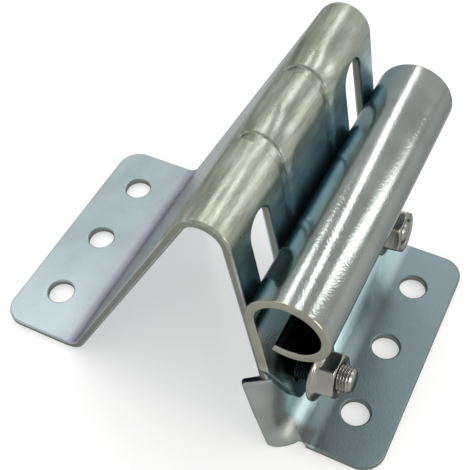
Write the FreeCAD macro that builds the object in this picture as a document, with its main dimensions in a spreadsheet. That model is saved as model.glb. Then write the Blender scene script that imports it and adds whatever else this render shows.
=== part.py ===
# Roller bracket of a sectional garage door, in millimetres.
# A folded sheet bracket with two flanges and a ridge carries a curled roller
# carrier, which slides in two slots and is clamped by two bolts with flange nuts.
# Frame: origin at the underside of the left flange, in the middle of its row of
# holes, +X across the bracket to the right flange, +Y to the rear, +Z up.
import FreeCAD
import Part
import math
import os
import Sketcher
from FreeCAD import Vector

os.makedirs("parts", exist_ok=True)
doc = FreeCAD.newDocument("door_bracket")

# Driving sizes, each written once
SIZES = [
    # folded sheet
    ("sheet_thickness", 1.8),
    ("bracket_length", 57.2),
    ("left_edge_margin", 8.9),
    ("hole_row_spacing", 73.0),
    ("right_edge_margin", 9.0),
    ("corner_radius", 5.0),
    ("edge_rounding", 0.3),
    ("slope_foot", 10.5),
    ("slope_angle", 60.5),
    ("wall_foot", 61.7),
    ("wall_angle", 81.2),
    ("ridge_radius", 5.3),
    ("fold_radius", 4.0),
    # screw holes in the flanges
    ("hole_bore", 6.0),
    ("hole_pitch", 17.5),
    # adjusting slots in the steep wall, measured up the wall
    ("slot_width", 6.8),
    ("slot_spacing", 38.9),
    ("slot_bottom", 8.6),
    ("slot_top", 56.1),
    # darts pressed across the ridge
    ("front_dart_place", -8.1),
    ("rear_dart_place", 9.7),
    ("dart_lean", 2.6),
    ("dart_width", 2.8),
    ("dart_lip", 0.6),
    ("dart_ramp", 5.0),
    ("dart_depth", 1.4),
    ("dart_slope_run", 8.0),
    ("dart_wall_run", 14.0),
    # ear folded from the front edge of the wall
    ("ear_height", 19.3),
    ("ear_setback", 1.2),
    ("ear_foot_setback", 0.7),
    ("ear_turn", 52.0),
    ("ear_reach_top", 5.9),
    ("ear_reach_bottom", 6.9),
    ("ear_corner_radius", 2.0),
    ("ear_web_height", 6.0),
    ("ear_web_setback", 4.6),
    # roller carrier
    ("tube_diameter", 15.3),
    ("tube_length", 60.4),
    ("tube_height", 41.7),
    ("tube_gap_angle", 59.0),
    ("plate_bottom", 5.0),
    ("plate_taper_height", 26.8),
    ("plate_bottom_width", 44.4),
    ("plate_corner_radius", 3.0),
    ("sliding_clearance", 0.05),
    # bolts and nuts
    ("bolt_diameter", 6.0),
    ("bolt_hole_clearance", 0.6),
    ("bolt_height", 13.85),
    ("bolt_head_diameter", 12.4),
    ("bolt_head_rise", 3.3),
    ("neck_clearance", 0.6),
    ("front_bolt_reach", 13.0),
    ("rear_bolt_reach", 9.3),
    ("bolt_end_chamfer", 0.7),
    ("nut_width", 10.0),
    ("nut_height", 4.8),
    ("nut_flange_diameter", 13.4),
    ("nut_flange_edge", 0.9),
    ("front_nut_standoff", 3.2),
    ("rear_nut_standoff", 2.3),
    ("front_nut_turn", -17.0),
    ("rear_nut_turn", 11.0),
    ("nut_thread_clearance", 0.02),
]

sheet = doc.addObject("Spreadsheet::Sheet", "sizes")
for row, (alias, value) in enumerate(SIZES, start=1):
    sheet.set("A%d" % row, alias)
    sheet.set("B%d" % row, str(value))
    sheet.setAlias("B%d" % row, alias)
doc.recompute()
size = {alias: float(getattr(sheet, alias)) for alias, _ in SIZES}

SLOPE = math.radians(size["slope_angle"])
WALL = math.radians(size["wall_angle"])
THICK = size["sheet_thickness"]


def new_body(name):
    """An empty body."""
    return doc.addObject("PartDesign::Body", name)


def origin_plane(body, role):
    """One of the body's own origin planes."""
    return next(f for f in body.Origin.OriginFeatures if f.Role == role)


def origin_axis(body, role):
    """One of the body's own origin axes."""
    return next(f for f in body.Origin.OriginFeatures if f.Role == role)


def new_sketch(body, role, name, offset=None):
    """A sketch on an origin plane of the body, moved by an optional placement."""
    sketch = body.newObject("Sketcher::SketchObject", name)
    sketch.AttachmentSupport = [(origin_plane(body, role), "")]
    sketch.MapMode = "FlatFace"
    if offset is not None:
        sketch.AttachmentOffset = offset
    return sketch


def bind(sketch, kind, args, name, expression):
    """Adds a dimension to a sketch and ties it to the sheet."""
    index = sketch.addConstraint(Sketcher.Constraint(kind, *args))
    sketch.renameConstraint(index, name)
    sketch.setExpression("Constraints." + name, expression)
    return index


def polar(centre, radius, angle):
    """The point at an angle on a circle in a sketch."""
    return centre + Vector(radius * math.cos(angle), radius * math.sin(angle), 0)


def add_arc(sketch, centre, radius, start, end):
    """An arc that runs counterclockwise from start to end."""
    circle = Part.Circle(centre, Vector(0, 0, 1), radius)
    return sketch.addGeometry(Part.ArcOfCircle(circle, start, end), False)


def add_line(sketch, a, b):
    """A straight line between two points."""
    return sketch.addGeometry(Part.LineSegment(a, b), False)


def add_circle(sketch, centre, radius):
    """A full circle."""
    return sketch.addGeometry(Part.Circle(centre, Vector(0, 0, 1), radius), False)


def join(sketch, a, a_end, b, b_end, smooth=False):
    """Joins an end of one piece of outline to an end of another."""
    kind = "Tangent" if smooth else "Coincident"
    sketch.addConstraint(Sketcher.Constraint(kind, a, a_end, b, b_end))


def outline(sketch, points):
    """A closed outline of straight lines through the points."""
    lines = [add_line(sketch, p, q) for p, q in zip(points, points[1:] + points[:1])]
    for a, b in zip(lines, lines[1:] + lines[:1]):
        join(sketch, a, 2, b, 1)
    return lines


def pad(body, sketch, length, midplane=False, reverse=False):
    """A pad whose length is an expression of the sheet."""
    feature = body.newObject("PartDesign::Pad", sketch.Name + "_pad")
    feature.Profile = sketch
    feature.Midplane = midplane
    feature.Reversed = reverse
    feature.setExpression("Length", length)
    return feature


def pocket(body, sketch, length, midplane=False, reverse=False):
    """A pocket whose depth is an expression of the sheet, checked to remove metal."""
    doc.recompute()
    before = body.Shape.Volume
    feature = body.newObject("PartDesign::Pocket", sketch.Name + "_pocket")
    feature.Profile = sketch
    feature.Midplane = midplane
    feature.Reversed = reverse
    feature.setExpression("Length", length)
    doc.recompute()
    assert body.Shape.Volume < before - 1e-6, feature.Name + " removes nothing"
    return feature


def round_edges(body, name, chosen, radius):
    """Rounds the edges of the body's last feature that a test picks out."""
    doc.recompute()
    base = body.Tip
    picks = ["Edge%d" % n for n, e in enumerate(base.Shape.Edges, start=1) if chosen(e)]
    feature = body.newObject("PartDesign::Fillet", name)
    feature.Base = (base, picks)
    feature.setExpression("Radius", radius)
    doc.recompute()
    return feature


def sharp_edges_of(body):
    """A test that picks out the edges where two faces of the body meet at an angle."""
    shape = body.Tip.Shape

    def is_sharp(edge):
        faces = shape.ancestorsOfType(edge, Part.Face)
        if len(faces) != 2:
            return False
        middle = edge.valueAt((edge.FirstParameter + edge.LastParameter) / 2)
        normals = [f.normalAt(*f.Surface.parameter(middle)) for f in faces]
        return normals[0].getAngle(normals[1]) > math.radians(20)

    return is_sharp


def stand_on_wall(thing, across, height, out="0"):
    """Places a piece in the wall's frame: x out of the wall, y along it, z up it."""
    turn = "(sizes.wall_angle * 1deg)"
    thing.Placement = FreeCAD.Placement(Vector(), FreeCAD.Rotation(Vector(0, 1, 0), -5))
    foot = "sizes.wall_foot - cos%s * (%s) + sin%s * (%s)" % (turn, height, turn, out)
    rise = "sizes.sheet_thickness + sin%s * (%s) + cos%s * (%s)" % (turn, height, turn, out)
    thing.setExpression("Placement.Base.x", foot)
    thing.setExpression("Placement.Base.y", across)
    thing.setExpression("Placement.Base.z", rise)
    thing.setExpression("Placement.Rotation.Angle", "sizes.wall_angle - 90")


# Bracket sheet: one constant thickness folded to two flanges and a ridge
fold = size["fold_radius"]
ridge = size["ridge_radius"]
left_centre = Vector(size["slope_foot"] - fold * math.tan(SLOPE / 2), THICK + fold, 0)
right_centre = Vector(size["wall_foot"] + fold * math.tan(WALL / 2), THICK + fold, 0)
slope_out = Vector(-math.sin(SLOPE), math.cos(SLOPE), 0)
wall_out = Vector(math.sin(WALL), math.cos(WALL), 0)
slope_reach = slope_out.dot(Vector(size["slope_foot"], THICK, 0)) - ridge
wall_reach = wall_out.dot(Vector(size["wall_foot"], THICK, 0)) - ridge
cross = slope_out.x * wall_out.y - slope_out.y * wall_out.x
ridge_centre = Vector(
    (slope_reach * wall_out.y - slope_out.y * wall_reach) / cross,
    (slope_out.x * wall_reach - slope_reach * wall_out.x) / cross,
    0,
)
SLOPE_NORMAL = math.pi / 2 + SLOPE
WALL_NORMAL = math.pi / 2 - WALL
left_end = Vector(-size["left_edge_margin"], 0, 0)
right_end = Vector(size["hole_row_spacing"] + size["right_edge_margin"], 0, 0)
up = Vector(0, THICK, 0)


def sheet_profile(sketch):
    """Draws the folded section, its outer side first and then its inner side."""
    fold_in = fold + THICK
    foot_left = Vector(left_centre.x, 0, 0)
    foot_right = Vector(right_centre.x, 0, 0)
    top = [
        add_line(sketch, left_end + up, foot_left + up),
        add_arc(sketch, left_centre, fold, -math.pi / 2, SLOPE - math.pi / 2),
        add_line(sketch, left_centre - slope_out * fold, ridge_centre + slope_out * ridge),
        add_arc(sketch, ridge_centre, ridge, WALL_NORMAL, SLOPE_NORMAL),
        add_line(sketch, ridge_centre + wall_out * ridge, right_centre - wall_out * fold),
        add_arc(sketch, right_centre, fold, WALL_NORMAL + math.pi, 1.5 * math.pi),
        add_line(sketch, foot_right + up, right_end + up),
    ]
    inner = ridge - THICK
    under = [
        add_line(sketch, left_end, foot_left),
        add_arc(sketch, left_centre, fold_in, -math.pi / 2, SLOPE - math.pi / 2),
        add_line(sketch, left_centre - slope_out * fold_in, ridge_centre + slope_out * inner),
        add_arc(sketch, ridge_centre, inner, WALL_NORMAL, SLOPE_NORMAL),
        add_line(sketch, ridge_centre + wall_out * inner, right_centre - wall_out * fold_in),
        add_arc(sketch, right_centre, fold_in, WALL_NORMAL + math.pi, 1.5 * math.pi),
        add_line(sketch, foot_right, right_end),
    ]
    left_cut = add_line(sketch, left_end, left_end + up)
    right_cut = add_line(sketch, right_end, right_end + up)
    # the ridge arc runs from the wall back to the slope, the others forward
    for side in (top, under):
        ends = [(2, 1), (2, 1), (2, 2), (1, 1), (2, 1), (2, 1)]
        for (a, b), (a_end, b_end) in zip(zip(side, side[1:]), ends):
            join(sketch, a, a_end, b, b_end, smooth=True)
    join(sketch, left_cut, 1, under[0], 1)
    join(sketch, left_cut, 2, top[0], 1)
    join(sketch, right_cut, 1, under[6], 2)
    join(sketch, right_cut, 2, top[6], 2)
    for index in (1, 3, 5):
        join(sketch, top[index], 3, under[index], 3)
    for index in (top[0], top[6], under[0]):
        sketch.addConstraint(Sketcher.Constraint("Horizontal", index))
    for index in (left_cut, right_cut):
        sketch.addConstraint(Sketcher.Constraint("Vertical", index))
    sketch.addConstraint(Sketcher.Constraint("PointOnObject", under[0], 1, -1))
    half = "sizes.fold_radius * tan(sizes.%s / 2 * 1deg)"
    bind(sketch, "DistanceY", (left_cut, 1, left_cut, 2, THICK), "thickness", "sizes.sheet_thickness")
    bind(sketch, "Radius", (top[1], fold), "left_fold", "sizes.fold_radius")
    bind(sketch, "Radius", (top[5], fold), "right_fold", "sizes.fold_radius")
    bind(sketch, "Radius", (top[3], ridge), "ridge", "sizes.ridge_radius")
    bind(sketch, "DistanceX", (under[0], 1, -1, 1, -left_end.x), "left_end", "sizes.left_edge_margin")
    bind(
        sketch, "DistanceX", (-1, 1, top[1], 3, left_centre.x), "left_fold_place",
        "sizes.slope_foot - " + half % "slope_angle",
    )
    bind(
        sketch, "DistanceX", (-1, 1, top[5], 3, right_centre.x), "right_fold_place",
        "sizes.wall_foot + " + half % "wall_angle",
    )
    bind(sketch, "Angle", (top[2], SLOPE), "slope", "sizes.slope_angle * 1deg")
    bind(sketch, "Angle", (top[4], -WALL), "wall", "-sizes.wall_angle * 1deg")
    bind(
        sketch, "DistanceX", (-1, 1, right_cut, 1, right_end.x), "right_end",
        "sizes.hole_row_spacing + sizes.right_edge_margin",
    )


folded = new_body("folded_sheet")
section = new_sketch(folded, "XZ_Plane", "sheet_section")
sheet_profile(section)
pad(folded, section, "sizes.bracket_length", midplane=True)
doc.recompute()

# Rounded outer corners of the two flanges
half_length = size["bracket_length"] / 2


def is_flange_corner(edge):
    """Tells whether an edge is one of the four upright corners of the flanges."""
    a, b = edge.Vertexes[0].Point, edge.Vertexes[-1].Point
    upright = abs(a.x - b.x) < 1e-6 and abs(a.y - b.y) < 1e-6
    at_end = min(abs(a.x - left_end.x), abs(a.x - right_end.x)) < 1e-6
    return upright and at_end


round_edges(folded, "flange_corners", is_flange_corner, "sizes.corner_radius")

# Screw holes: the first of each row, then the row as a pattern
hole_sketch = new_sketch(folded, "XY_Plane", "screw_holes")
first_y = -size["hole_pitch"]
for name, x, place in (("left", 0.0, "0"), ("right", size["hole_row_spacing"], "sizes.hole_row_spacing")):
    ring = add_circle(hole_sketch, Vector(x, first_y, 0), size["hole_bore"] / 2)
    bind(hole_sketch, "Diameter", (ring, size["hole_bore"]), name + "_bore", "sizes.hole_bore")
    bind(hole_sketch, "DistanceX", (-1, 1, ring, 3, x), name + "_row", place)
    bind(hole_sketch, "DistanceY", (ring, 3, -1, 1, -first_y), name + "_first", "sizes.hole_pitch")
holes = pocket(folded, hole_sketch, "sizes.sheet_thickness * 3", midplane=True)
rows = folded.newObject("PartDesign::LinearPattern", "hole_rows")
rows.Originals = [holes]
rows.Direction = (origin_axis(folded, "Y_Axis"), [""])
rows.setExpression("Length", "sizes.hole_pitch * 2")
rows.Occurrences = 3
folded.Tip = rows
doc.recompute()

# Adjusting slots, cut square to the wall from a plane on its outer face
wall_place = FreeCAD.Placement(
    Vector(0, THICK, size["wall_foot"]),
    FreeCAD.Rotation(Vector(1, 0, 0), size["wall_angle"] - 90),
)
slot_sketch = new_sketch(folded, "YZ_Plane", "adjusting_slots", wall_place)
slot_sketch.setExpression("AttachmentOffset.Base.y", "sizes.sheet_thickness")
slot_sketch.setExpression("AttachmentOffset.Base.z", "sizes.wall_foot")
slot_sketch.setExpression("AttachmentOffset.Rotation.Angle", "sizes.wall_angle - 90")
slot_half = size["slot_width"] / 2
for name, side in (("front", -1), ("rear", 1)):
    y = side * size["slot_spacing"] / 2
    low = Vector(y, size["slot_bottom"] + slot_half, 0)
    high = Vector(y, size["slot_top"] - slot_half, 0)
    bottom = add_arc(slot_sketch, low, slot_half, math.pi, 2 * math.pi)
    top_end = add_arc(slot_sketch, high, slot_half, 0, math.pi)
    right = add_line(slot_sketch, polar(low, slot_half, 0), polar(high, slot_half, 0))
    left = add_line(slot_sketch, polar(high, slot_half, math.pi), polar(low, slot_half, math.pi))
    join(slot_sketch, bottom, 2, right, 1, smooth=True)
    join(slot_sketch, right, 2, top_end, 1, smooth=True)
    join(slot_sketch, top_end, 2, left, 1, smooth=True)
    join(slot_sketch, left, 2, bottom, 1, smooth=True)
    slot_sketch.addConstraint(Sketcher.Constraint("Vertical", right))
    bind(slot_sketch, "Radius", (bottom, slot_half), name + "_half", "sizes.slot_width / 2")
    bind(
        slot_sketch, "DistanceY", (-1, 1, bottom, 3, low.y), name + "_low",
        "sizes.slot_bottom + sizes.slot_width / 2",
    )
    bind(
        slot_sketch, "DistanceY", (-1, 1, top_end, 3, high.y), name + "_high",
        "sizes.slot_top - sizes.slot_width / 2",
    )
    ends = (-1, 1, bottom, 3) if side > 0 else (bottom, 3, -1, 1)
    bind(slot_sketch, "DistanceX", ends + (abs(y),), name + "_place", "sizes.slot_spacing / 2")
pocket(folded, slot_sketch, "sizes.sheet_thickness * 3", midplane=True)



round_edges(folded, "soft_edges", sharp_edges_of(folded), "sizes.edge_rounding")

# Path over the hat for the darts: a point of the outer face and its outward normal
slope_end = ridge_centre + slope_out * ridge
wall_end = ridge_centre + wall_out * ridge
slope_down = Vector(-math.cos(SLOPE), -math.sin(SLOPE), 0)
wall_down = Vector(math.cos(WALL), -math.sin(WALL), 0)
DART_TURNS = 10


def dart_stations():
    """Places along a dart: outer point, normal, lean, depth share and length of the rear ramp."""
    places = []
    slope_run, wall_run = size["dart_slope_run"], size["dart_wall_run"]
    for part, depth in ((1.0, 0.0), (0.66, 0.35), (0.33, 0.75)):
        places.append((slope_end + slope_down * slope_run * part, slope_out, 0.0, depth, 1.0))
    for step in range(DART_TURNS + 1):
        share = step / DART_TURNS
        angle = SLOPE_NORMAL + (WALL_NORMAL - SLOPE_NORMAL) * share
        out = Vector(math.cos(angle), math.sin(angle), 0)
        ramp = 1.0 - 0.8 * share ** 2
        places.append((ridge_centre + out * ridge, out, 0.7 * share, 1.0 - 0.25 * share, ramp))
    for part, depth in ((0.3, 0.65), (0.6, 0.5), (0.85, 0.25), (1.0, 0.0)):
        lean = 0.7 + 0.3 * part
        places.append((wall_end + wall_down * wall_run * part, wall_out, lean, depth, 0.2))
    return places


def dart_tool(place, level):
    """A strip along a dart: steep at its front, with a flat bed and a ramp at its rear."""
    skin = 0.15
    bed = size["dart_width"] / 2
    sections = []
    for point, out, lean, depth, ramp in dart_stations():
        y = place - size["dart_lean"] * lean
        sink = size["dart_depth"] * depth - skin * (1 - depth) * 0.6
        corners_2d = [
            (-bed, skin),
            (bed + size["dart_ramp"] * ramp, skin),
            (bed, -sink),
            (-bed + size["dart_lip"], -sink),
        ]
        loop = []
        for across, rise in corners_2d:
            flat = point + out * (rise - level)
            loop.append(Vector(flat.x, y + across, flat.y))
        sections.append(Part.makePolygon(loop + loop[:1]))
    return Part.makeLoft(sections, True, True)


def solid(name, shape):
    """A named object that holds a shape which no bound feature can make."""
    thing = doc.addObject("Part::Feature", name)
    thing.Shape = shape
    return thing


dart_places = (size["front_dart_place"], size["rear_dart_place"])
bulges = [solid("dart_bulge_%d" % n, dart_tool(y, THICK)) for n, y in enumerate(dart_places, start=1)]
grooves = [solid("dart_groove_%d" % n, dart_tool(y, 0.0)) for n, y in enumerate(dart_places, start=1)]

# Ear: the front edge of the wall below ear_height is folded round to the left
front = -half_length


def on_wall(height, y):
    """A point on the outer face of the wall, at a height up the wall."""
    return Vector(
        size["wall_foot"] - math.cos(WALL) * height, y, THICK + math.sin(WALL) * height
    )


ear_top = on_wall(size["ear_height"], front + size["ear_setback"])
ear_foot = Vector(right_centre.x, front + size["ear_foot_setback"], THICK)
fold_line = ear_foot - ear_top
floor_point = ear_top + fold_line * (ear_top.z / (ear_top.z - ear_foot.z))
ear_way = Vector(-math.sin(math.radians(size["ear_turn"])), -math.cos(math.radians(size["ear_turn"])), 0)
ear_front = fold_line.cross(ear_way).normalize()
if ear_front.y > 0:
    ear_front = ear_front * -1
ear_corner = floor_point + ear_way * size["ear_reach_bottom"]
ear_tip = ear_top + ear_way * size["ear_reach_top"]
ear_outline = [ear_top, ear_tip, ear_corner, floor_point]
ear_face = Part.Face(Part.makePolygon(ear_outline + ear_outline[:1]))
ear_plate = ear_face.extrude(ear_front * -THICK)
low_edges = [e for e in ear_plate.Edges if e.distToShape(Part.Vertex(ear_corner))[0] < 1e-6]
side_edges = [e for e in low_edges if abs(abs(e.tangentAt(0).dot(ear_front)) - 1) < 1e-6]
ear_plate = ear_plate.makeFillet(size["ear_corner_radius"], side_edges)
below = Part.makeBox(60, 60, 20, Vector(ear_corner.x - 30, ear_corner.y - 30, -20))
ear = solid("ear_plate", ear_plate.cut(below))
# the web between the wall and the fold line, which stands proud of the wall
web_point = on_wall(size["ear_web_height"], front + size["ear_web_setback"])
hidden_point = on_wall(size["ear_web_height"] / 2, front + size["ear_web_setback"] / 2)
hidden_point = hidden_point - Vector(math.sin(WALL), 0, math.cos(WALL)) * (THICK / 2)
web_points = [ear_top, ear_foot, web_point, hidden_point]
web_faces = []
for skip in range(4):
    three = [p for n, p in enumerate(web_points) if n != skip]
    web_faces.append(Part.Face(Part.makePolygon(three + three[:1])))
web = solid("ear_web", Part.Solid(Part.makeShell(web_faces)))
clear_way = ear_way * (3 * size["ear_reach_bottom"])
low_point = floor_point + fold_line * 0.05
relief_outline = [ear_top, ear_top + clear_way, low_point + clear_way, low_point]
relief_face = Part.Face(Part.makePolygon(relief_outline + relief_outline[:1]))
relief = solid("ear_relief", relief_face.extrude(ear_front * (2 * size["ear_reach_bottom"])))

with_bulges = doc.addObject("Part::MultiFuse", "sheet_with_bulges")
with_bulges.Shapes = [folded] + bulges
all_cuts = doc.addObject("Part::MultiFuse", "dart_and_ear_cuts")
all_cuts.Shapes = grooves + [relief]
pressed = doc.addObject("Part::Cut", "pressed_sheet")
pressed.Base = with_bulges
pressed.Tool = all_cuts
bracket = doc.addObject("Part::MultiFuse", "bracket")
bracket.Shapes = [pressed, ear, web]
bracket.Refine = True
doc.recompute()

# Roller carrier: a plate curled at the top into the tube for the roller stem
gap = size["sliding_clearance"]
tube_out = size["tube_diameter"] / 2
tube_in = tube_out - THICK
carrier = new_body("roller_carrier")
stand_on_wall(carrier, "0", "0")
curl = new_sketch(carrier, "XZ_Plane", "carrier_section")
centre = Vector(gap + tube_out, size["tube_height"], 0)
tip = -math.pi + math.radians(size["tube_gap_angle"])
back_top = Vector(gap, size["tube_height"], 0)
back_low = Vector(gap, size["plate_bottom"], 0)
front_low = back_low + Vector(THICK, 0, 0)
front_top = back_top + Vector(THICK, 0, 0)
outer_arc = add_arc(curl, centre, tube_out, tip, math.pi)
inner_arc = add_arc(curl, centre, tube_in, tip, math.pi)
lip = add_line(curl, polar(centre, tube_in, tip), polar(centre, tube_out, tip))
back_line = add_line(curl, back_top, back_low)
low_line = add_line(curl, back_low, front_low)
front_line = add_line(curl, front_low, front_top)
join(curl, outer_arc, 2, back_line, 1, smooth=True)
join(curl, back_line, 2, low_line, 1)
join(curl, low_line, 2, front_line, 1)
join(curl, front_line, 2, inner_arc, 2, smooth=True)
join(curl, inner_arc, 1, lip, 1)
join(curl, lip, 2, outer_arc, 1)
join(curl, inner_arc, 3, outer_arc, 3)
curl.addConstraint(Sketcher.Constraint("Vertical", back_line))
curl.addConstraint(Sketcher.Constraint("Horizontal", low_line))
bind(curl, "Radius", (outer_arc, tube_out), "tube", "sizes.tube_diameter / 2")
bind(curl, "DistanceX", (-1, 1, low_line, 1, gap), "clearance", "sizes.sliding_clearance")
bind(curl, "DistanceX", (low_line, 1, low_line, 2, THICK), "plate", "sizes.sheet_thickness")
bind(curl, "DistanceY", (-1, 1, low_line, 1, back_low.y), "bottom", "sizes.plate_bottom")
bind(curl, "DistanceY", (-1, 1, outer_arc, 3, centre.y), "tube_height", "sizes.tube_height")
bind(
    curl, "Angle", (lip, tip), "mouth", "(sizes.tube_gap_angle - 180) * 1deg",
)
pad(carrier, curl, "sizes.tube_length", midplane=True)

taper = new_sketch(carrier, "YZ_Plane", "carrier_taper")
wide = size["tube_length"] / 2
narrow = size["plate_bottom_width"] / 2
low, high = size["plate_bottom"], size["plate_taper_height"]
for name, side in (("front", -1), ("rear", 1)):
    a = Vector(side * narrow, low, 0)
    b = Vector(side * wide, high, 0)
    c = Vector(side * wide, low, 0)
    sides = outline(taper, [a, b, c])
    taper.addConstraint(Sketcher.Constraint("Vertical", sides[1]))
    taper.addConstraint(Sketcher.Constraint("Horizontal", sides[2]))
    bind(taper, "DistanceY", (-1, 1, sides[0], 1, low), name + "_low", "sizes.plate_bottom")
    bind(taper, "DistanceY", (-1, 1, sides[0], 2, high), name + "_high", "sizes.plate_taper_height")
    near = (-1, 1, sides[0], 1) if side > 0 else (sides[0], 1, -1, 1)
    far = (-1, 1, sides[1], 1) if side > 0 else (sides[1], 1, -1, 1)
    bind(taper, "DistanceX", near + (narrow,), name + "_narrow", "sizes.plate_bottom_width / 2")
    bind(taper, "DistanceX", far + (wide,), name + "_wide", "sizes.tube_length / 2")
pocket(carrier, taper, "sizes.tube_diameter * 2", midplane=True)

bolt_holes = new_sketch(carrier, "YZ_Plane", "bolt_holes")
bore = size["bolt_diameter"] + size["bolt_hole_clearance"]
for name, side in (("front", -1), ("rear", 1)):
    y = side * size["slot_spacing"] / 2
    ring = add_circle(bolt_holes, Vector(y, size["bolt_height"], 0), bore / 2)
    bind(
        bolt_holes, "Diameter", (ring, bore), name + "_bore",
        "sizes.bolt_diameter + sizes.bolt_hole_clearance",
    )
    ends = (-1, 1, ring, 3) if side > 0 else (ring, 3, -1, 1)
    bind(bolt_holes, "DistanceX", ends + (abs(y),), name + "_place", "sizes.slot_spacing / 2")
    bind(
        bolt_holes, "DistanceY", (-1, 1, ring, 3, size["bolt_height"]), name + "_height",
        "sizes.bolt_height",
    )
pocket(carrier, bolt_holes, "sizes.sheet_thickness * 3", midplane=True)


def is_plate_corner(edge):
    """Tells whether an edge is a corner of the plate where the taper meets its foot or side."""
    a, b = edge.Vertexes[0].Point, edge.Vertexes[-1].Point
    through = abs(a.y - b.y) < 1e-6 and abs(a.z - b.z) < 1e-6
    at_foot = abs(abs(a.y) - narrow) < 1e-6 and abs(a.z - low) < 1e-6
    at_side = abs(abs(a.y) - wide) < 1e-6 and abs(a.z - high) < 1e-6
    return through and (at_foot or at_side)


round_edges(carrier, "plate_corners", is_plate_corner, "sizes.plate_corner_radius")
round_edges(carrier, "soft_carrier_edges", sharp_edges_of(carrier), "sizes.edge_rounding")


def make_bolt(name, across, reach):
    """A coach bolt through the slot: a domed head inside, a square neck and the shank."""
    body = new_body(name)
    stand_on_wall(body, across, "sizes.bolt_height")
    seat = -THICK - gap
    head = size["bolt_head_diameter"] / 2
    shank = size["bolt_diameter"] / 2
    rise = size["bolt_head_rise"]
    cut = size["bolt_end_chamfer"]
    end = size[reach]
    rim = rise / 4
    # the dome passes through the crown and the rim of the head
    cap = rise - rim
    dome = (head * head + cap * cap) / (2 * cap)
    crown = Vector(seat - rise, 0, 0)
    dome_centre = crown + Vector(dome, 0, 0)
    edge_angle = math.pi - math.asin(head / dome)
    half = new_sketch(body, "XZ_Plane", name + "_half")
    arc = add_arc(half, dome_centre, dome, edge_angle, math.pi)
    rim_point = Vector(seat - rim, head, 0)
    points = [
        rim_point,
        Vector(seat, head, 0),
        Vector(seat, shank, 0),
        Vector(end - cut, shank, 0),
        Vector(end, shank - cut, 0),
        Vector(end, 0, 0),
        crown,
    ]
    lines = [add_line(half, p, q) for p, q in zip(points, points[1:])]
    join(half, arc, 1, lines[0], 1)
    for a, b in zip(lines, lines[1:]):
        join(half, a, 2, b, 1)
    join(half, lines[-1], 2, arc, 2)
    half.addConstraint(Sketcher.Constraint("PointOnObject", arc, 3, -1))
    half.addConstraint(Sketcher.Constraint("PointOnObject", lines[-1], 1, -1))
    half.addConstraint(Sketcher.Constraint("PointOnObject", lines[-1], 2, -1))
    for index in (0, 2):
        half.addConstraint(Sketcher.Constraint("Horizontal", lines[index]))
    for index in (1, 4):
        half.addConstraint(Sketcher.Constraint("Vertical", lines[index]))
    bind(half, "DistanceY", (-1, 1, lines[1], 1, head), "head", "sizes.bolt_head_diameter / 2")
    bind(half, "DistanceY", (-1, 1, lines[2], 1, shank), "shank", "sizes.bolt_diameter / 2")
    bind(half, "DistanceX", (lines[1], 1, -1, 1, -seat), "seat", "sizes.sheet_thickness + sizes.sliding_clearance")
    bind(half, "DistanceX", (arc, 2, lines[1], 1, rise), "rise", "sizes.bolt_head_rise")
    bind(half, "DistanceX", (lines[0], 1, lines[0], 2, rim), "rim", "sizes.bolt_head_rise / 4")
    bind(half, "DistanceX", (-1, 1, lines[4], 1, end), "reach", "sizes." + reach)
    bind(half, "DistanceX", (lines[3], 1, lines[3], 2, cut), "cut_length", "sizes.bolt_end_chamfer")
    bind(half, "DistanceY", (lines[3], 2, lines[3], 1, cut), "cut_depth", "sizes.bolt_end_chamfer")
    turned = body.newObject("PartDesign::Revolution", name + "_turned")
    turned.Profile = half
    turned.ReferenceAxis = (half, ["H_Axis"])
    turned.Angle = 360
    doc.recompute()
    neck_half = (size["slot_width"] - size["neck_clearance"]) / 2
    neck = new_sketch(body, "YZ_Plane", name + "_neck")
    neck.AttachmentOffset = FreeCAD.Placement(Vector(0, 0, seat), FreeCAD.Rotation())
    neck.setExpression("AttachmentOffset.Base.z", "-sizes.sheet_thickness - sizes.sliding_clearance")
    square = outline(neck, [
        Vector(-neck_half, -neck_half, 0),
        Vector(neck_half, -neck_half, 0),
        Vector(neck_half, neck_half, 0),
        Vector(-neck_half, neck_half, 0),
    ])
    for index in (0, 2):
        neck.addConstraint(Sketcher.Constraint("Horizontal", square[index]))
    for index in (1, 3):
        neck.addConstraint(Sketcher.Constraint("Vertical", square[index]))
    neck.addConstraint(Sketcher.Constraint("Symmetric", square[0], 1, square[1], 2, -1, 1))
    width = "sizes.slot_width - sizes.neck_clearance"
    bind(neck, "DistanceX", (square[0], 1, square[0], 2, 2 * neck_half), "width", width)
    bind(neck, "DistanceY", (square[1], 1, square[1], 2, 2 * neck_half), "height", width)
    pad(body, neck, "sizes.sheet_thickness")
    doc.recompute()
    return body


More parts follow.
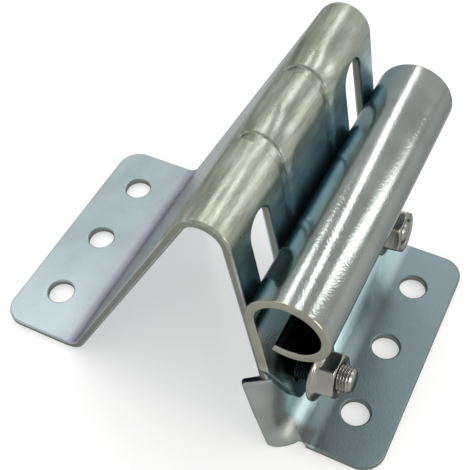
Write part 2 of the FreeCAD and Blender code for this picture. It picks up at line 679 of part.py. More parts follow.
def make_nut(name, across, standoff, turned_by):
    """A hexagon nut with a flange, run on to a standoff from the plate."""
    body = new_body(name)
    base = "sizes.sliding_clearance + sizes.sheet_thickness + sizes." + standoff
    stand_on_wall(body, across, "sizes.bolt_height", base)
    flange = size["nut_flange_diameter"] / 2
    brim = size["nut_flange_edge"]
    across_flats = size["nut_width"] / 2
    point = across_flats / math.cos(math.pi / 6)
    tall = size["nut_height"]
    half = new_sketch(body, "XZ_Plane", name + "_flange")
    points = [
        Vector(0, 0, 0),
        Vector(0, flange, 0),
        Vector(brim, flange, 0),
        Vector(2 * brim, across_flats, 0),
        Vector(2 * brim, 0, 0),
    ]
    lines = outline(half, points)
    half.addConstraint(Sketcher.Constraint("Coincident", lines[0], 1, -1, 1))
    half.addConstraint(Sketcher.Constraint("PointOnObject", lines[3], 2, -1))
    for index in (0, 3):
        half.addConstraint(Sketcher.Constraint("Vertical", lines[index]))
    half.addConstraint(Sketcher.Constraint("Horizontal", lines[1]))
    bind(half, "DistanceY", (-1, 1, lines[0], 2, flange), "flange", "sizes.nut_flange_diameter / 2")
    bind(half, "DistanceX", (lines[1], 1, lines[1], 2, brim), "brim", "sizes.nut_flange_edge")
    bind(half, "DistanceX", (-1, 1, lines[3], 1, 2 * brim), "rise", "sizes.nut_flange_edge * 2")
    bind(half, "DistanceY", (-1, 1, lines[3], 1, across_flats), "root", "sizes.nut_width / 2")
    turned = body.newObject("PartDesign::Revolution", name + "_turned")
    turned.Profile = half
    turned.ReferenceAxis = (half, ["H_Axis"])
    turned.Angle = 360
    doc.recompute()
    spin = FreeCAD.Placement(Vector(), FreeCAD.Rotation(Vector(0, 0, 1), size[turned_by]))
    hexagon = new_sketch(body, "YZ_Plane", name + "_hexagon", spin)
    hexagon.setExpression("AttachmentOffset.Rotation.Angle", "sizes." + turned_by)
    corners_6 = [polar(Vector(), point, math.radians(30 + 60 * k)) for k in range(6)]
    sides = outline(hexagon, corners_6)
    guide = add_circle(hexagon, Vector(), across_flats)
    hexagon.toggleConstruction(guide)
    hexagon.addConstraint(Sketcher.Constraint("Coincident", guide, 3, -1, 1))
    for line in sides:
        hexagon.addConstraint(Sketcher.Constraint("Tangent", line, guide))
    for a, b in zip(sides[:4], sides[1:5]):
        hexagon.addConstraint(Sketcher.Constraint("Equal", a, b))
    hexagon.addConstraint(Sketcher.Constraint("Vertical", sides[2]))
    bind(hexagon, "Diameter", (guide, 2 * across_flats), "flats", "sizes.nut_width")
    pad(body, hexagon, "sizes.nut_height")
    doc.recompute()
    # the corners of the free end are turned to a cone
    crest = new_sketch(body, "XZ_Plane", name + "_crest")
    triangle = outline(crest, [
        Vector(tall, across_flats * 0.97, 0),
        Vector(tall, point + 1, 0),
        Vector(tall - (point + 1 - across_flats * 0.97) * 0.577, point + 1, 0),
    ])
    crest.addConstraint(Sketcher.Constraint("Vertical", triangle[0]))
    crest.addConstraint(Sketcher.Constraint("Horizontal", triangle[1]))
    bind(crest, "DistanceX", (-1, 1, triangle[0], 1, tall), "height", "sizes.nut_height")
    bind(crest, "DistanceY", (-1, 1, triangle[0], 1, across_flats * 0.97), "start", "sizes.nut_width * 0.485")
    bind(
        crest, "DistanceY", (-1, 1, triangle[0], 2, point + 1), "far",
        "sizes.nut_width / 2 / cos(30deg) + 1",
    )
    bind(crest, "Angle", (triangle[2], math.radians(-30)), "cone", "-30deg")
    turned_off = body.newObject("PartDesign::Groove", name + "_chamfer")
    turned_off.Profile = crest
    turned_off.ReferenceAxis = (crest, ["H_Axis"])
    turned_off.Angle = 360
    doc.recompute()
    hole = new_sketch(body, "YZ_Plane", name + "_bore")
    reach = size["bolt_diameter"] / 2 + size["nut_thread_clearance"]
    ring = add_circle(hole, Vector(), reach)
    hole.addConstraint(Sketcher.Constraint("Coincident", ring, 3, -1, 1))
    bind(
        hole, "Radius", (ring, reach), "thread",
        "sizes.bolt_diameter / 2 + sizes.nut_thread_clearance",
    )
    pocket(body, hole, "sizes.nut_height * 3", midplane=True)
    return body


front_place = "-sizes.slot_spacing / 2"
rear_place = "sizes.slot_spacing / 2"
pieces = [
    bracket,
    carrier,
    make_bolt("front_bolt", front_place, "front_bolt_reach"),
    make_bolt("rear_bolt", rear_place, "rear_bolt_reach"),
    make_nut("front_nut", front_place, "front_nut_standoff", "front_nut_turn"),
    make_nut("rear_nut", rear_place, "rear_nut_standoff", "rear_nut_turn"),
]
doc.recompute()

# Every feature must be sound before the pieces are written
for thing in doc.Objects:
    assert not {"Invalid", "Error"} & set(thing.State), thing.Name + " did not build"
for piece in pieces:
    shape = piece.Shape
    assert not shape.isNull() and shape.isValid(), piece.Label + " is not sound"
    assert len(shape.Solids) == 1, piece.Label + " is not one solid"
    shape.exportStep("parts/" + piece.Label + ".step")
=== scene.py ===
import logging
import math
from dataclasses import dataclass, field
from enum import Enum, IntEnum
from functools import partial
from typing import Callable, Dict, List, Optional, Sequence, Tuple

import bpy
import numpy as np
from mathutils import Matrix, Vector
from mathutils.geometry import delaunay_2d_cdt


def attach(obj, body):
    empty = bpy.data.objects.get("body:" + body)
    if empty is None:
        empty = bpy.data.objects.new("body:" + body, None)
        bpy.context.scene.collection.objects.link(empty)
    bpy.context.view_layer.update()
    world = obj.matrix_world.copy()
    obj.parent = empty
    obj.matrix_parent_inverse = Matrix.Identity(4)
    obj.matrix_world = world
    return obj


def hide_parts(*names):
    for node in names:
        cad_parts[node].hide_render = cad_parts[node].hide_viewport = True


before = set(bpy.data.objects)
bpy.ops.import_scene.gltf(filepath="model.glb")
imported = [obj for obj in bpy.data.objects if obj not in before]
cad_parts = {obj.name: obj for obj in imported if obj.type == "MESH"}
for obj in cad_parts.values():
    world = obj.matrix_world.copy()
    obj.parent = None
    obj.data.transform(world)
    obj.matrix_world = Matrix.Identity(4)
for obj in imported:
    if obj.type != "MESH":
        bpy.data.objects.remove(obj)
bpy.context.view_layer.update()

MM = 0.001
# a place beyond every end of the part, which leaves a range open on that side
OPEN = 99.0
log = logging.getLogger("door_bracket")

# a range along one axis in millimetres: where it starts, is full, starts to fade and has gone
Span = Tuple[float, float, float, float]
# values at places, in the order of the places
Table = Tuple[Tuple[float, float], ...]
# the radius of a turned piece at each angle, and its rings along the axis
Ring = Callable[[np.ndarray], np.ndarray]
Stations = List[Tuple[float, Ring]]
# the Mix node's sockets share their names, so they go by number
MIX_FACTOR = 0
FLOAT_A, FLOAT_B, FLOAT_RESULT = 2, 3, 0
COLOUR_A, COLOUR_B, COLOUR_RESULT = 6, 7, 2


class Body(Enum):
    """The two bodies that move against each other."""

    BRACKET = "bracket_body"
    CARRIER = "carrier_body"


def to_linear(code: str) -> Tuple[float, float, float, float]:
    """Turns an sRGB hex colour into linear light.

    Args:
        code: six hex digits, with or without a leading hash.

    Returns:
        Red, green and blue in linear light, and full alpha.
    """
    digits = code.lstrip("#")
    levels = [int(digits[i:i + 2], 16) / 255 for i in (0, 2, 4)]
    linear = [v / 12.92 if v <= 0.04045 else ((v + 0.055) / 1.055) ** 2.4 for v in levels]
    return (linear[0], linear[1], linear[2], 1.0)


def add_node(
    tree: bpy.types.NodeTree,
    kind: str,
    settings: Optional[Dict[str, object]] = None,
    values: Optional[Dict[object, object]] = None,
    links: Optional[Dict[object, bpy.types.NodeSocket]] = None,
) -> bpy.types.Node:
    """Adds one node with its settings, socket values and incoming links.

    Args:
        tree: the node tree that takes the node.
        kind: the node's type name.
        settings: attributes of the node itself.
        values: default values by input socket.
        links: output sockets to be led into input sockets.

    Returns:
        The new node.
    """
    node = tree.nodes.new(kind)
    for name, value in (settings or {}).items():
        setattr(node, name, value)
    for socket, value in (values or {}).items():
        node.inputs[socket].default_value = value
    for socket, source in (links or {}).items():
        tree.links.new(source, node.inputs[socket])
    return node


def up_to(fade: float, end: float) -> Span:
    """A range that is open below and fades between two places."""
    return (-OPEN, -OPEN, fade, end)


def beyond(start: float, full: float) -> Span:
    """A range that comes in between two places and is open above."""
    return (start, full, OPEN, OPEN)


@dataclass(frozen=True)
class Tint:
    """A place where the passivate dried to another colour, or where shade, light or a reflection is
    painted into the colour.
    """

    colour: str
    x_mm: Span = (-OPEN, -OPEN, OPEN, OPEN)
    y_mm: Span = (-OPEN, -OPEN, OPEN, OPEN)
    z_mm: Span = (-OPEN, -OPEN, OPEN, OPEN)


@dataclass(frozen=True)
class BrightZincPlate:
    """Electroplated zinc with a clear blue passivate over cold rolled steel.

    The passivate gives a cold grey with blue, teal and straw tints that change slowly along the
    sheet, and some of its tints paint in light, shade and reflections. The rolled steel's fine
    grain breaks the rims of highlights into specks.
    """

    name: str
    tone: str
    tints: Tuple[Tint, ...]
    roughness: float = 0.30
    # the clouds also make the plate a little glossier or duller
    roughness_spread: Tuple[float, float] = (-0.03, 0.04)
    # the oxide under the plate dulls what is seen at a low angle
    grazing_tint: str = "#b4b8b8"
    cloud_mm: float = 9.0
    cloud_share: float = 0.10
    # noise keeps near its middle: this much on either side of it counts as the full range
    cloud_reach: float = 0.18
    gloss_reach: float = 0.20
    streak_reach: float = 0.16
    # rolled grain is about 0.1 mm; it is drawn at 0.45 mm so that it shows
    grain_mm: float = 0.45
    grain_depth_mm: float = 0.036
    # the rolls draw the grain out along the ridge
    grain_stretch: Tuple[float, float, float] = (1.0, 0.45, 1.0)
    # how much duller the sheet is near its foot, where it rubbed in the barrel, and how high up
    foot_dulling: float = 0.0
    foot_mm: Tuple[float, float] = (2.0, 7.0)
    # painted reflection streaks over the ridge: wide, long and strong as given, above the height
    # given
    streak_mm: float = 1.7
    streak_stretch: Tuple[float, float, float] = (1.0, 0.16, 1.0)
    streak_share: float = 0.0
    streak_height_mm: Tuple[float, float] = (44.0, 57.0)

    def build(self) -> bpy.types.Material:
        """Makes the material's nodes.

        Returns:
            The material.
        """
        material = bpy.data.materials.new(self.name)
        material.use_nodes = True
        tree = material.node_tree
        tree.nodes.clear()
        at = add_node(tree, "ShaderNodeTexCoord").outputs["Object"]
        axes = add_node(tree, "ShaderNodeSeparateXYZ", links={"Vector": at})
        cloud = add_node(
            tree, "ShaderNodeTexNoise",
            values={"Scale": 1 / (self.cloud_mm * MM), "Detail": 3.0, "Roughness": 0.55},
            links={"Vector": at},
        ).outputs["Fac"]
        shade = add_node(
            tree, "ShaderNodeMapRange",
            values={
                "From Min": 0.5 - self.cloud_reach, "From Max": 0.5 + self.cloud_reach,
                "To Min": 1 - self.cloud_share, "To Max": 1 + self.cloud_share,
            },
            links={"Value": cloud},
        )
        colour = add_node(
            tree, "ShaderNodeVectorMath", {"operation": "SCALE"},
            links={0: self._tinted(tree, axes), "Scale": shade.outputs["Result"]},
        )
        if self.streak_share:
            colour = add_node(
                tree, "ShaderNodeVectorMath", {"operation": "SCALE"},
                links={0: colour.outputs["Vector"], "Scale": self._painted_reflection_streaks(tree, at, axes)},
            )
        drawn = add_node(
            tree, "ShaderNodeMapping", values={"Scale": self.grain_stretch}, links={"Vector": at},
        )
        grain = add_node(
            tree, "ShaderNodeTexNoise",
            values={"Scale": 1 / (self.grain_mm * MM), "Detail": 2.0, "Roughness": 0.6},
            links={"Vector": drawn.outputs["Vector"]},
        )
        glossiest, dullest = self.roughness_spread
        rough = add_node(
            tree, "ShaderNodeMapRange",
            values={
                "From Min": 0.5 - self.gloss_reach, "From Max": 0.5 + self.gloss_reach,
                "To Min": self.roughness + glossiest, "To Max": self.roughness + dullest,
            },
            links={"Value": cloud},
        )
        if self.foot_dulling:
            foot, above = self.foot_mm
            dull = add_node(
                tree, "ShaderNodeMapRange", {"interpolation_type": "SMOOTHSTEP"},
                values={
                    "From Min": foot * MM, "From Max": above * MM,
                    "To Min": self.foot_dulling, "To Max": 0.0,
                },
                links={"Value": axes.outputs["Z"]},
            )
            rough = add_node(
                tree, "ShaderNodeMath", {"operation": "ADD"},
                links={0: rough.outputs["Result"], 1: dull.outputs["Result"]},
            )
        bump = add_node(
            tree, "ShaderNodeBump",
            values={"Strength": 1.0, "Distance": self.grain_depth_mm * MM},
            links={"Height": grain.outputs["Fac"]},
        )
        metal = add_node(
            tree, "ShaderNodeBsdfPrincipled",
            values={"Metallic": 1.0, "Specular Tint": to_linear(self.grazing_tint)},
            links={
                "Base Color": colour.outputs["Vector"],
                "Roughness": rough.outputs[0],
                "Normal": bump.outputs["Normal"],
            },
        )
        add_node(tree, "ShaderNodeOutputMaterial", links={"Surface": metal.outputs["BSDF"]})
        return material

    def _painted_reflection_streaks(
        self, tree: bpy.types.NodeTree, at: bpy.types.NodeSocket, axes: bpy.types.Node,
    ) -> bpy.types.NodeSocket:
        """Paints streaks of reflection along the ridge into the colour.

        Args:
            tree: the material's node tree.
            at: the place on the object.
            axes: the same place, split into its axes.

        Returns:
            A factor for the colour.
        """
        drawn = add_node(
            tree, "ShaderNodeMapping", values={"Scale": self.streak_stretch}, links={"Vector": at},
        )
        marks = add_node(
            tree, "ShaderNodeTexNoise",
            values={"Scale": 1 / (self.streak_mm * MM), "Detail": 3.0, "Roughness": 0.6},
            links={"Vector": drawn.outputs["Vector"]},
        )
        factor = add_node(
            tree, "ShaderNodeMapRange",
            values={
                "From Min": 0.5 - self.streak_reach, "From Max": 0.5 + self.streak_reach,
                "To Min": 1 - self.streak_share, "To Max": 1 + self.streak_share,
            },
            links={"Value": marks.outputs["Fac"]},
        )
        low, high = self.streak_height_mm
        share = add_node(
            tree, "ShaderNodeMapRange", {"interpolation_type": "SMOOTHSTEP"},
            values={"From Min": low * MM, "From Max": high * MM, "To Min": 0.0, "To Max": 1.0},
            links={"Value": axes.outputs["Z"]},
        )
        mix = add_node(
            tree, "ShaderNodeMix", values={FLOAT_A: 1.0},
            links={MIX_FACTOR: share.outputs["Result"], FLOAT_B: factor.outputs["Result"]},
        )
        return mix.outputs[FLOAT_RESULT]

    def _tinted(self, tree: bpy.types.NodeTree, axes: bpy.types.Node) -> bpy.types.NodeSocket:
        """Lays the tints over the tone.

        Args:
            tree: the material's node tree.
            axes: the place on the object, split into its axes.

        Returns:
            The colour socket.
        """
        colour = None
        for tint in self.tints:
            mix = add_node(
                tree, "ShaderNodeMix", {"data_type": "RGBA"},
                values={COLOUR_A: to_linear(self.tone), COLOUR_B: to_linear(tint.colour)},
                links={MIX_FACTOR: self._share(tree, axes, tint)},
            )
            if colour is not None:
                tree.links.new(colour, mix.inputs[COLOUR_A])
            colour = mix.outputs[COLOUR_RESULT]
        return colour

    @staticmethod
    def _share(tree: bpy.types.NodeTree, axes: bpy.types.Node, tint: Tint) -> bpy.types.NodeSocket:
        """Multiplies a tint's fades along the three axes.

        Args:
            tree: the material's node tree.
            axes: the place on the object, split into its axes.
            tint: the tint with its ranges.

        Returns:
            How fully the tint shows, from 0 to 1.
        """
        share = None
        for axis, span in (("X", tint.x_mm), ("Y", tint.y_mm), ("Z", tint.z_mm)):
            for low, high, start in ((span[0], span[1], 0), (span[2], span[3], 1)):
                if abs(low) == OPEN:
                    continue
                fade = add_node(
                    tree, "ShaderNodeMapRange", {"interpolation_type": "SMOOTHSTEP"},
                    values={
                        "From Min": low * MM, "From Max": high * MM,
                        "To Min": start, "To Max": 1 - start,
                    },
                    links={"Value": axes.outputs[axis]},
                ).outputs["Result"]
                share = fade if share is None else add_node(
                    tree, "ShaderNodeMath", {"operation": "MULTIPLY"}, links={0: share, 1: fade},
                ).outputs[0]
        return share


def smooth_step(value: np.ndarray, low: float, high: float) -> np.ndarray:
    """Rises from 0 at low to 1 at high along a soft S curve."""
    share = np.clip((value - low) / (high - low), 0, 1)
    return share * share * (3 - 2 * share)


def flat_cross(first: np.ndarray, second: np.ndarray) -> np.ndarray:
    """The cross product of flat directions, positive where the second lies to the left."""
    return first[..., 0] * second[..., 1] - first[..., 1] * second[..., 0]


def new_piece(
    name: str, points: np.ndarray, faces: Sequence[Sequence[int]], material: bpy.types.Material,
) -> bpy.types.Object:
    """Makes a smooth shaded object from points in millimetres.

    Args:
        name: the object's name.
        points: one row of x, y and z for each vertex.
        faces: vertex indices for each face, turning outwards.
        material: its finish.

    Returns:
        The new object, linked to the scene.
    """
    mesh = bpy.data.meshes.new(name)
    mesh.from_pydata((points * MM).tolist(), [], [list(f) for f in faces])
    mesh.polygons.foreach_set("use_smooth", [True] * len(mesh.polygons))
    mesh.materials.append(material)
    mesh.update()
    thing = bpy.data.objects.new(name, mesh)
    bpy.context.scene.collection.objects.link(thing)
    return thing


class RunKind(Enum):
    """How a run of the folded section goes."""

    STRAIGHT = "straight"
    BEND = "bend"


class Mark(IntEnum):
    """The runs of the folded section from left to right, by where each starts."""

    LEFT_FLANGE = 0
    LEFT_FOLD = 1
    SLOPE = 2
    RIDGE = 3
    WALL = 4
    RIGHT_FOLD = 5
    RIGHT_FLANGE = 6
    RIGHT_END = 7


@dataclass(frozen=True)
class Run:
    """One straight run or one bend of the folded section."""

    kind: RunKind
    # where a straight run starts, or the centre of a bend
    start: np.ndarray
    # the direction of a straight run, or the first angle of a bend
    first: float
    # the length of a straight run, or the last angle of a bend
    last: float
    radius: float = 0.0

    def length(self) -> float:
        """The run's length along the outer line."""
        bend = self.radius * abs(self.last - self.first)
        return self.last if self.kind is RunKind.STRAIGHT else bend

    def at(self, along: np.ndarray) -> np.ndarray:
        """Finds places on the run.

        Args:
            along: lengths from the run's start.

        Returns:
            One row of x and z for each length.
        """
        if self.kind is RunKind.STRAIGHT:
            way = np.array([math.cos(self.first), math.sin(self.first)])
            return self.start + along[:, None] * way
        turn = self.first + np.sign(self.last - self.first) * along / self.radius
        return self.start + self.radius * np.stack([np.cos(turn), np.sin(turn)], axis=1)


@dataclass(frozen=True)
class FoldedSection:
    """The outer line of the folded sheet, seen along the ridge, by its unrolled length."""

    thickness: float = 1.8
    left_end: float = -8.9
    right_end: float = 82.0
    slope_foot: float = 10.5
    slope_angle: float = math.radians(60.5)
    wall_foot: float = 61.7
    wall_angle: float = math.radians(81.2)
    ridge_radius: float = 5.3
    fold_radius: float = 4.0

    def runs(self) -> List[Run]:
        """Works out the straight runs and bends, as Mark names them.

        Returns:
            The runs from left to right.
        """
        t, r, f = self.thickness, self.ridge_radius, self.fold_radius
        a, b = self.slope_angle, self.wall_angle
        left = np.array([self.slope_foot - f * math.tan(a / 2), t + f])
        right = np.array([self.wall_foot + f * math.tan(b / 2), t + f])
        slope_out = np.array([-math.sin(a), math.cos(a)])
        wall_out = np.array([math.sin(b), math.cos(b)])
        slope_reach = slope_out @ np.array([self.slope_foot, t]) - r
        wall_reach = wall_out @ np.array([self.wall_foot, t]) - r
        ridge = np.linalg.solve(
            np.array([slope_out, wall_out]), np.array([slope_reach, wall_reach]),
        )
        slope_low, slope_high = left - slope_out * f, ridge + slope_out * r
        wall_high, wall_low = ridge + wall_out * r, right - wall_out * f
        slope_length = float(np.linalg.norm(slope_high - slope_low))
        wall_length = float(np.linalg.norm(wall_low - wall_high))
        quarter = math.pi / 2
        return [
            Run(RunKind.STRAIGHT, np.array([self.left_end, t]), 0.0, left[0] - self.left_end),
            Run(RunKind.BEND, left, -quarter, a - quarter, f),
            Run(RunKind.STRAIGHT, slope_low, a, slope_length),
            Run(RunKind.BEND, ridge, quarter + a, quarter - b, r),
            Run(RunKind.STRAIGHT, wall_high, -b, wall_length),
            Run(RunKind.BEND, right, quarter - b + math.pi, 3 * quarter, f),
            Run(RunKind.STRAIGHT, np.array([right[0], t]), 0.0, self.right_end - right[0]),
        ]

    def marks(self) -> List[float]:
        """The unrolled length at each run's start and at the right end."""
        return [0.0] + np.cumsum([run.length() for run in self.runs()]).tolist()

    def at(self, u: np.ndarray) -> np.ndarray:
        """Finds the places on the outer line.

        Args:
            u: unrolled lengths from the left end.

        Returns:
            One row of x and z for each length.
        """
        place = np.zeros((len(u), 2))
        marks = self.marks()
        # the first and the last run carry on beyond the sheet's ends
        lows, highs = [-np.inf] + marks[1:-1], marks[1:-1] + [np.inf]
        for run, start, low, high in zip(self.runs(), marks, lows, highs):
            inside = (u >= low) & (u < high)
            place[inside] = run.at(u[inside] - start)
        return place


@dataclass(frozen=True)
class PressedDarts:
    """The darts over the ridge, each with a steep front flank, a flat bed and a ramp behind.

    Each table gives a value at distances from where the ridge starts or ends, across the folds.
    """

    # places of the beds' middles along the ridge
    places: Tuple[float, float] = (-8.1, 9.7)
    depth: float = 1.2
    bed_half: float = 1.4
    # the bed's back edge rises at once by this share of the depth, over twice this width
    step_share: float = 0.38
    step_half: float = 0.14
    # how much of the full depth the dart has
    fade_in: Table = ((-8.0, 0.0), (-5.0, 0.35), (-2.0, 0.8), (1.0, 1.0))
    fade_out: Table = ((-1.0, 0.8), (4.2, 0.62), (8.4, 0.45), (14.0, 0.0))
    # how far the dart leans to the front
    lean_start: Table = ((0.0, 0.0),)
    lean_end: Table = ((0.0, 1.8), (14.0, 2.6))
    # how long the ramp behind the bed is
    ramp_start: Table = ((-2.0, 8.0), (5.0, 8.0))
    ramp_end: Table = ((-1.0, 4.0), (2.0, 1.2))
    # how wide the front flank is
    flank_start: Table = ((0.0, 0.55),)
    flank_end: Table = ((-2.0, 0.6), (3.0, 1.7))

    @staticmethod
    def _read(u: np.ndarray, start: float, first: Table, end: float, second: Table) -> np.ndarray:
        """Reads a table at unrolled lengths.

        Args:
            u: unrolled lengths across the folds.
            start: where the ridge starts.
            first: the values round its start.
            end: where the ridge ends.
            second: the values round its end.

        Returns:
            The value at each length.
        """
        places = [start + away for away, _ in first] + [end + away for away, _ in second]
        return np.interp(u, places, [value for _, value in first + second])

    def sink(self, u: np.ndarray, v: np.ndarray, start: float, end: float) -> np.ndarray:
        """How far the darts lie under the skin.

        Args:
            u: unrolled lengths across the folds.
            v: places along the ridge.
            start: where the ridge starts.
            end: where the ridge ends.

        Returns:
            The depth at each point in millimetres.
        """
        depth = self._read(u, start, self.fade_in, end, self.fade_out) * self.depth
        lean = self._read(u, start, self.lean_start, end, self.lean_end)
        ramp = self._read(u, start, self.ramp_start, end, self.ramp_end)
        flank = self._read(u, start, self.flank_start, end, self.flank_end)
        bed, half = self.bed_half, self.step_half
        sink = np.zeros(len(u))
        for place in self.places:
            across = v - (place - lean)
            front = smooth_step((across + bed) / flank, 0, 1)
            step = 1 - self.step_share * smooth_step(across, bed - half, bed + half)
            back = 1 - np.clip((across - bed) / ramp, 0, 1)
            sink = np.maximum(sink, depth * front * step * back * back)
        return sink


@dataclass(frozen=True)
class FoldedEar:
    """The ear at the wall's lower front corner, folded back in one soft sweep."""

    height: float = 19.3
    tip: Tuple[float, float, float] = (54.05, -30.75, 20.8)
    low_corner: Tuple[float, float, float] = (60.0, -32.0, 0.0)
    # its free edge on the flat sheet, and how its corners are rounded
    border: float = -33.4
    tip_radius: float = 0.5
    corner_radius: float = 2.0
    # the soft crease where it leaves the wall: height up the wall, going on round the fold below
    # the foot, and place along the ridge
    crease: Table = (
        (19.3, -27.5), (16.8, -26.8), (13.35, -25.6), (9.0, -24.6), (6.0, -23.9), (3.4, -23.8),
        (1.9, -24.3), (0.5, -25.1), (-0.5, -26.0), (-1.5, -27.0), (-2.24, -27.8),
    )
    crease_softness: float = 1.2
    # how far the sweep fades out above the ear and under the fold
    fade: float = 1.4
    # from the tip down to the foot, how much of the ear's width runs across the bracket
    lean: Table = ((0.0, 0.86), (0.25, 0.74), (0.5, 0.68), (0.8, 0.78), (1.0, 0.88))
    # the sweep is a cubic curve: how far it carries on the wall's way and on the ear's own way
    wall_share: float = 0.22
    least_wall_way: float = 0.2
    ear_share: float = 0.6
    # near the foot the curve leaves the wall downwards as well
    drop: Table = ((0.7, 0.2), (1.0, 0.9))

    def sweep(self, level: np.ndarray, root: np.ndarray, along: np.ndarray) -> np.ndarray:
        """Bends the skin from the crease to the ear's free edge.

        Args:
            level: how far each point lies from the tip, 0, to the foot, 1.
            root: the crease's place at that level, one row of x, y and z for each point.
            along: how far the point lies from the crease, 0, to the free edge, 1.

        Returns:
            One row of x, y and z for each point.
        """
        tip, low = np.array(self.tip), np.array(self.low_corner)
        edge = tip + (low - tip) * level[:, None]
        lean = np.interp(level, *zip(*self.lean))
        side = np.sqrt(1 - lean ** 2)
        # the skin leaves the wall along the ridge and meets the ear's own plane at this corner
        run = (root[:, 0] - edge[:, 0]) / lean
        corner = edge[:, 1] + side * run
        first, second = root.copy(), edge.copy()
        first[:, 1] -= np.maximum(self.wall_share * (root[:, 1] - corner), self.least_wall_way)
        first[:, 2] += (edge[:, 2] - root[:, 2]) * np.interp(level, *zip(*self.drop))
        second[:, 0] += self.ear_share * run * lean
        second[:, 1] += self.ear_share * run * side
        s = along[:, None]
        return (
            root * (1 - s) ** 3 + 3 * first * s * (1 - s) ** 2
            + 3 * second * s * s * (1 - s) + edge * s ** 3
        )


@dataclass(frozen=True)
class GridSteps:
    """How far apart the points of the sheet's mesh lie, in millimetres, and where that changes."""

    flat: float = 1.5
    left_fold: float = 0.45
    ridge: float = 0.4
    beside_ridge: float = 0.5
    wall: float = 1.2
    beside_ear: float = 0.7
    right_fold: float = 0.4
    ear: float = 0.6
    # along the ridge: over a dart, on its ramp and between the darts
    dart: float = 0.18
    ramp: float = 0.6
    between: float = 1.3
    # no inner point is nearer to an edge than this
    clear: float = 0.36
    # how far the close points go on before the ridge and after it, and up the wall at the ear
    before_ridge: float = 8.5
    after_ridge: float = 14.5
    ear_top: float = 21.0
    ear_side: float = -22.0
    # a place beyond the ear's free edge
    ear_limit: float = -36.0
    # how far they go on before and after each dart, and where its ramp has run out
    before_dart: float = 4.6
    after_dart: float = 2.6
    ramp_out: float = 10.5
    # every line of points is kept in these windows, and one line in so many outside them
    kept_ridge: Tuple[float, float] = (9.0, 15.0)
    kept_dart: Tuple[float, float] = (4.7, 2.7)
    kept_line: int = 6


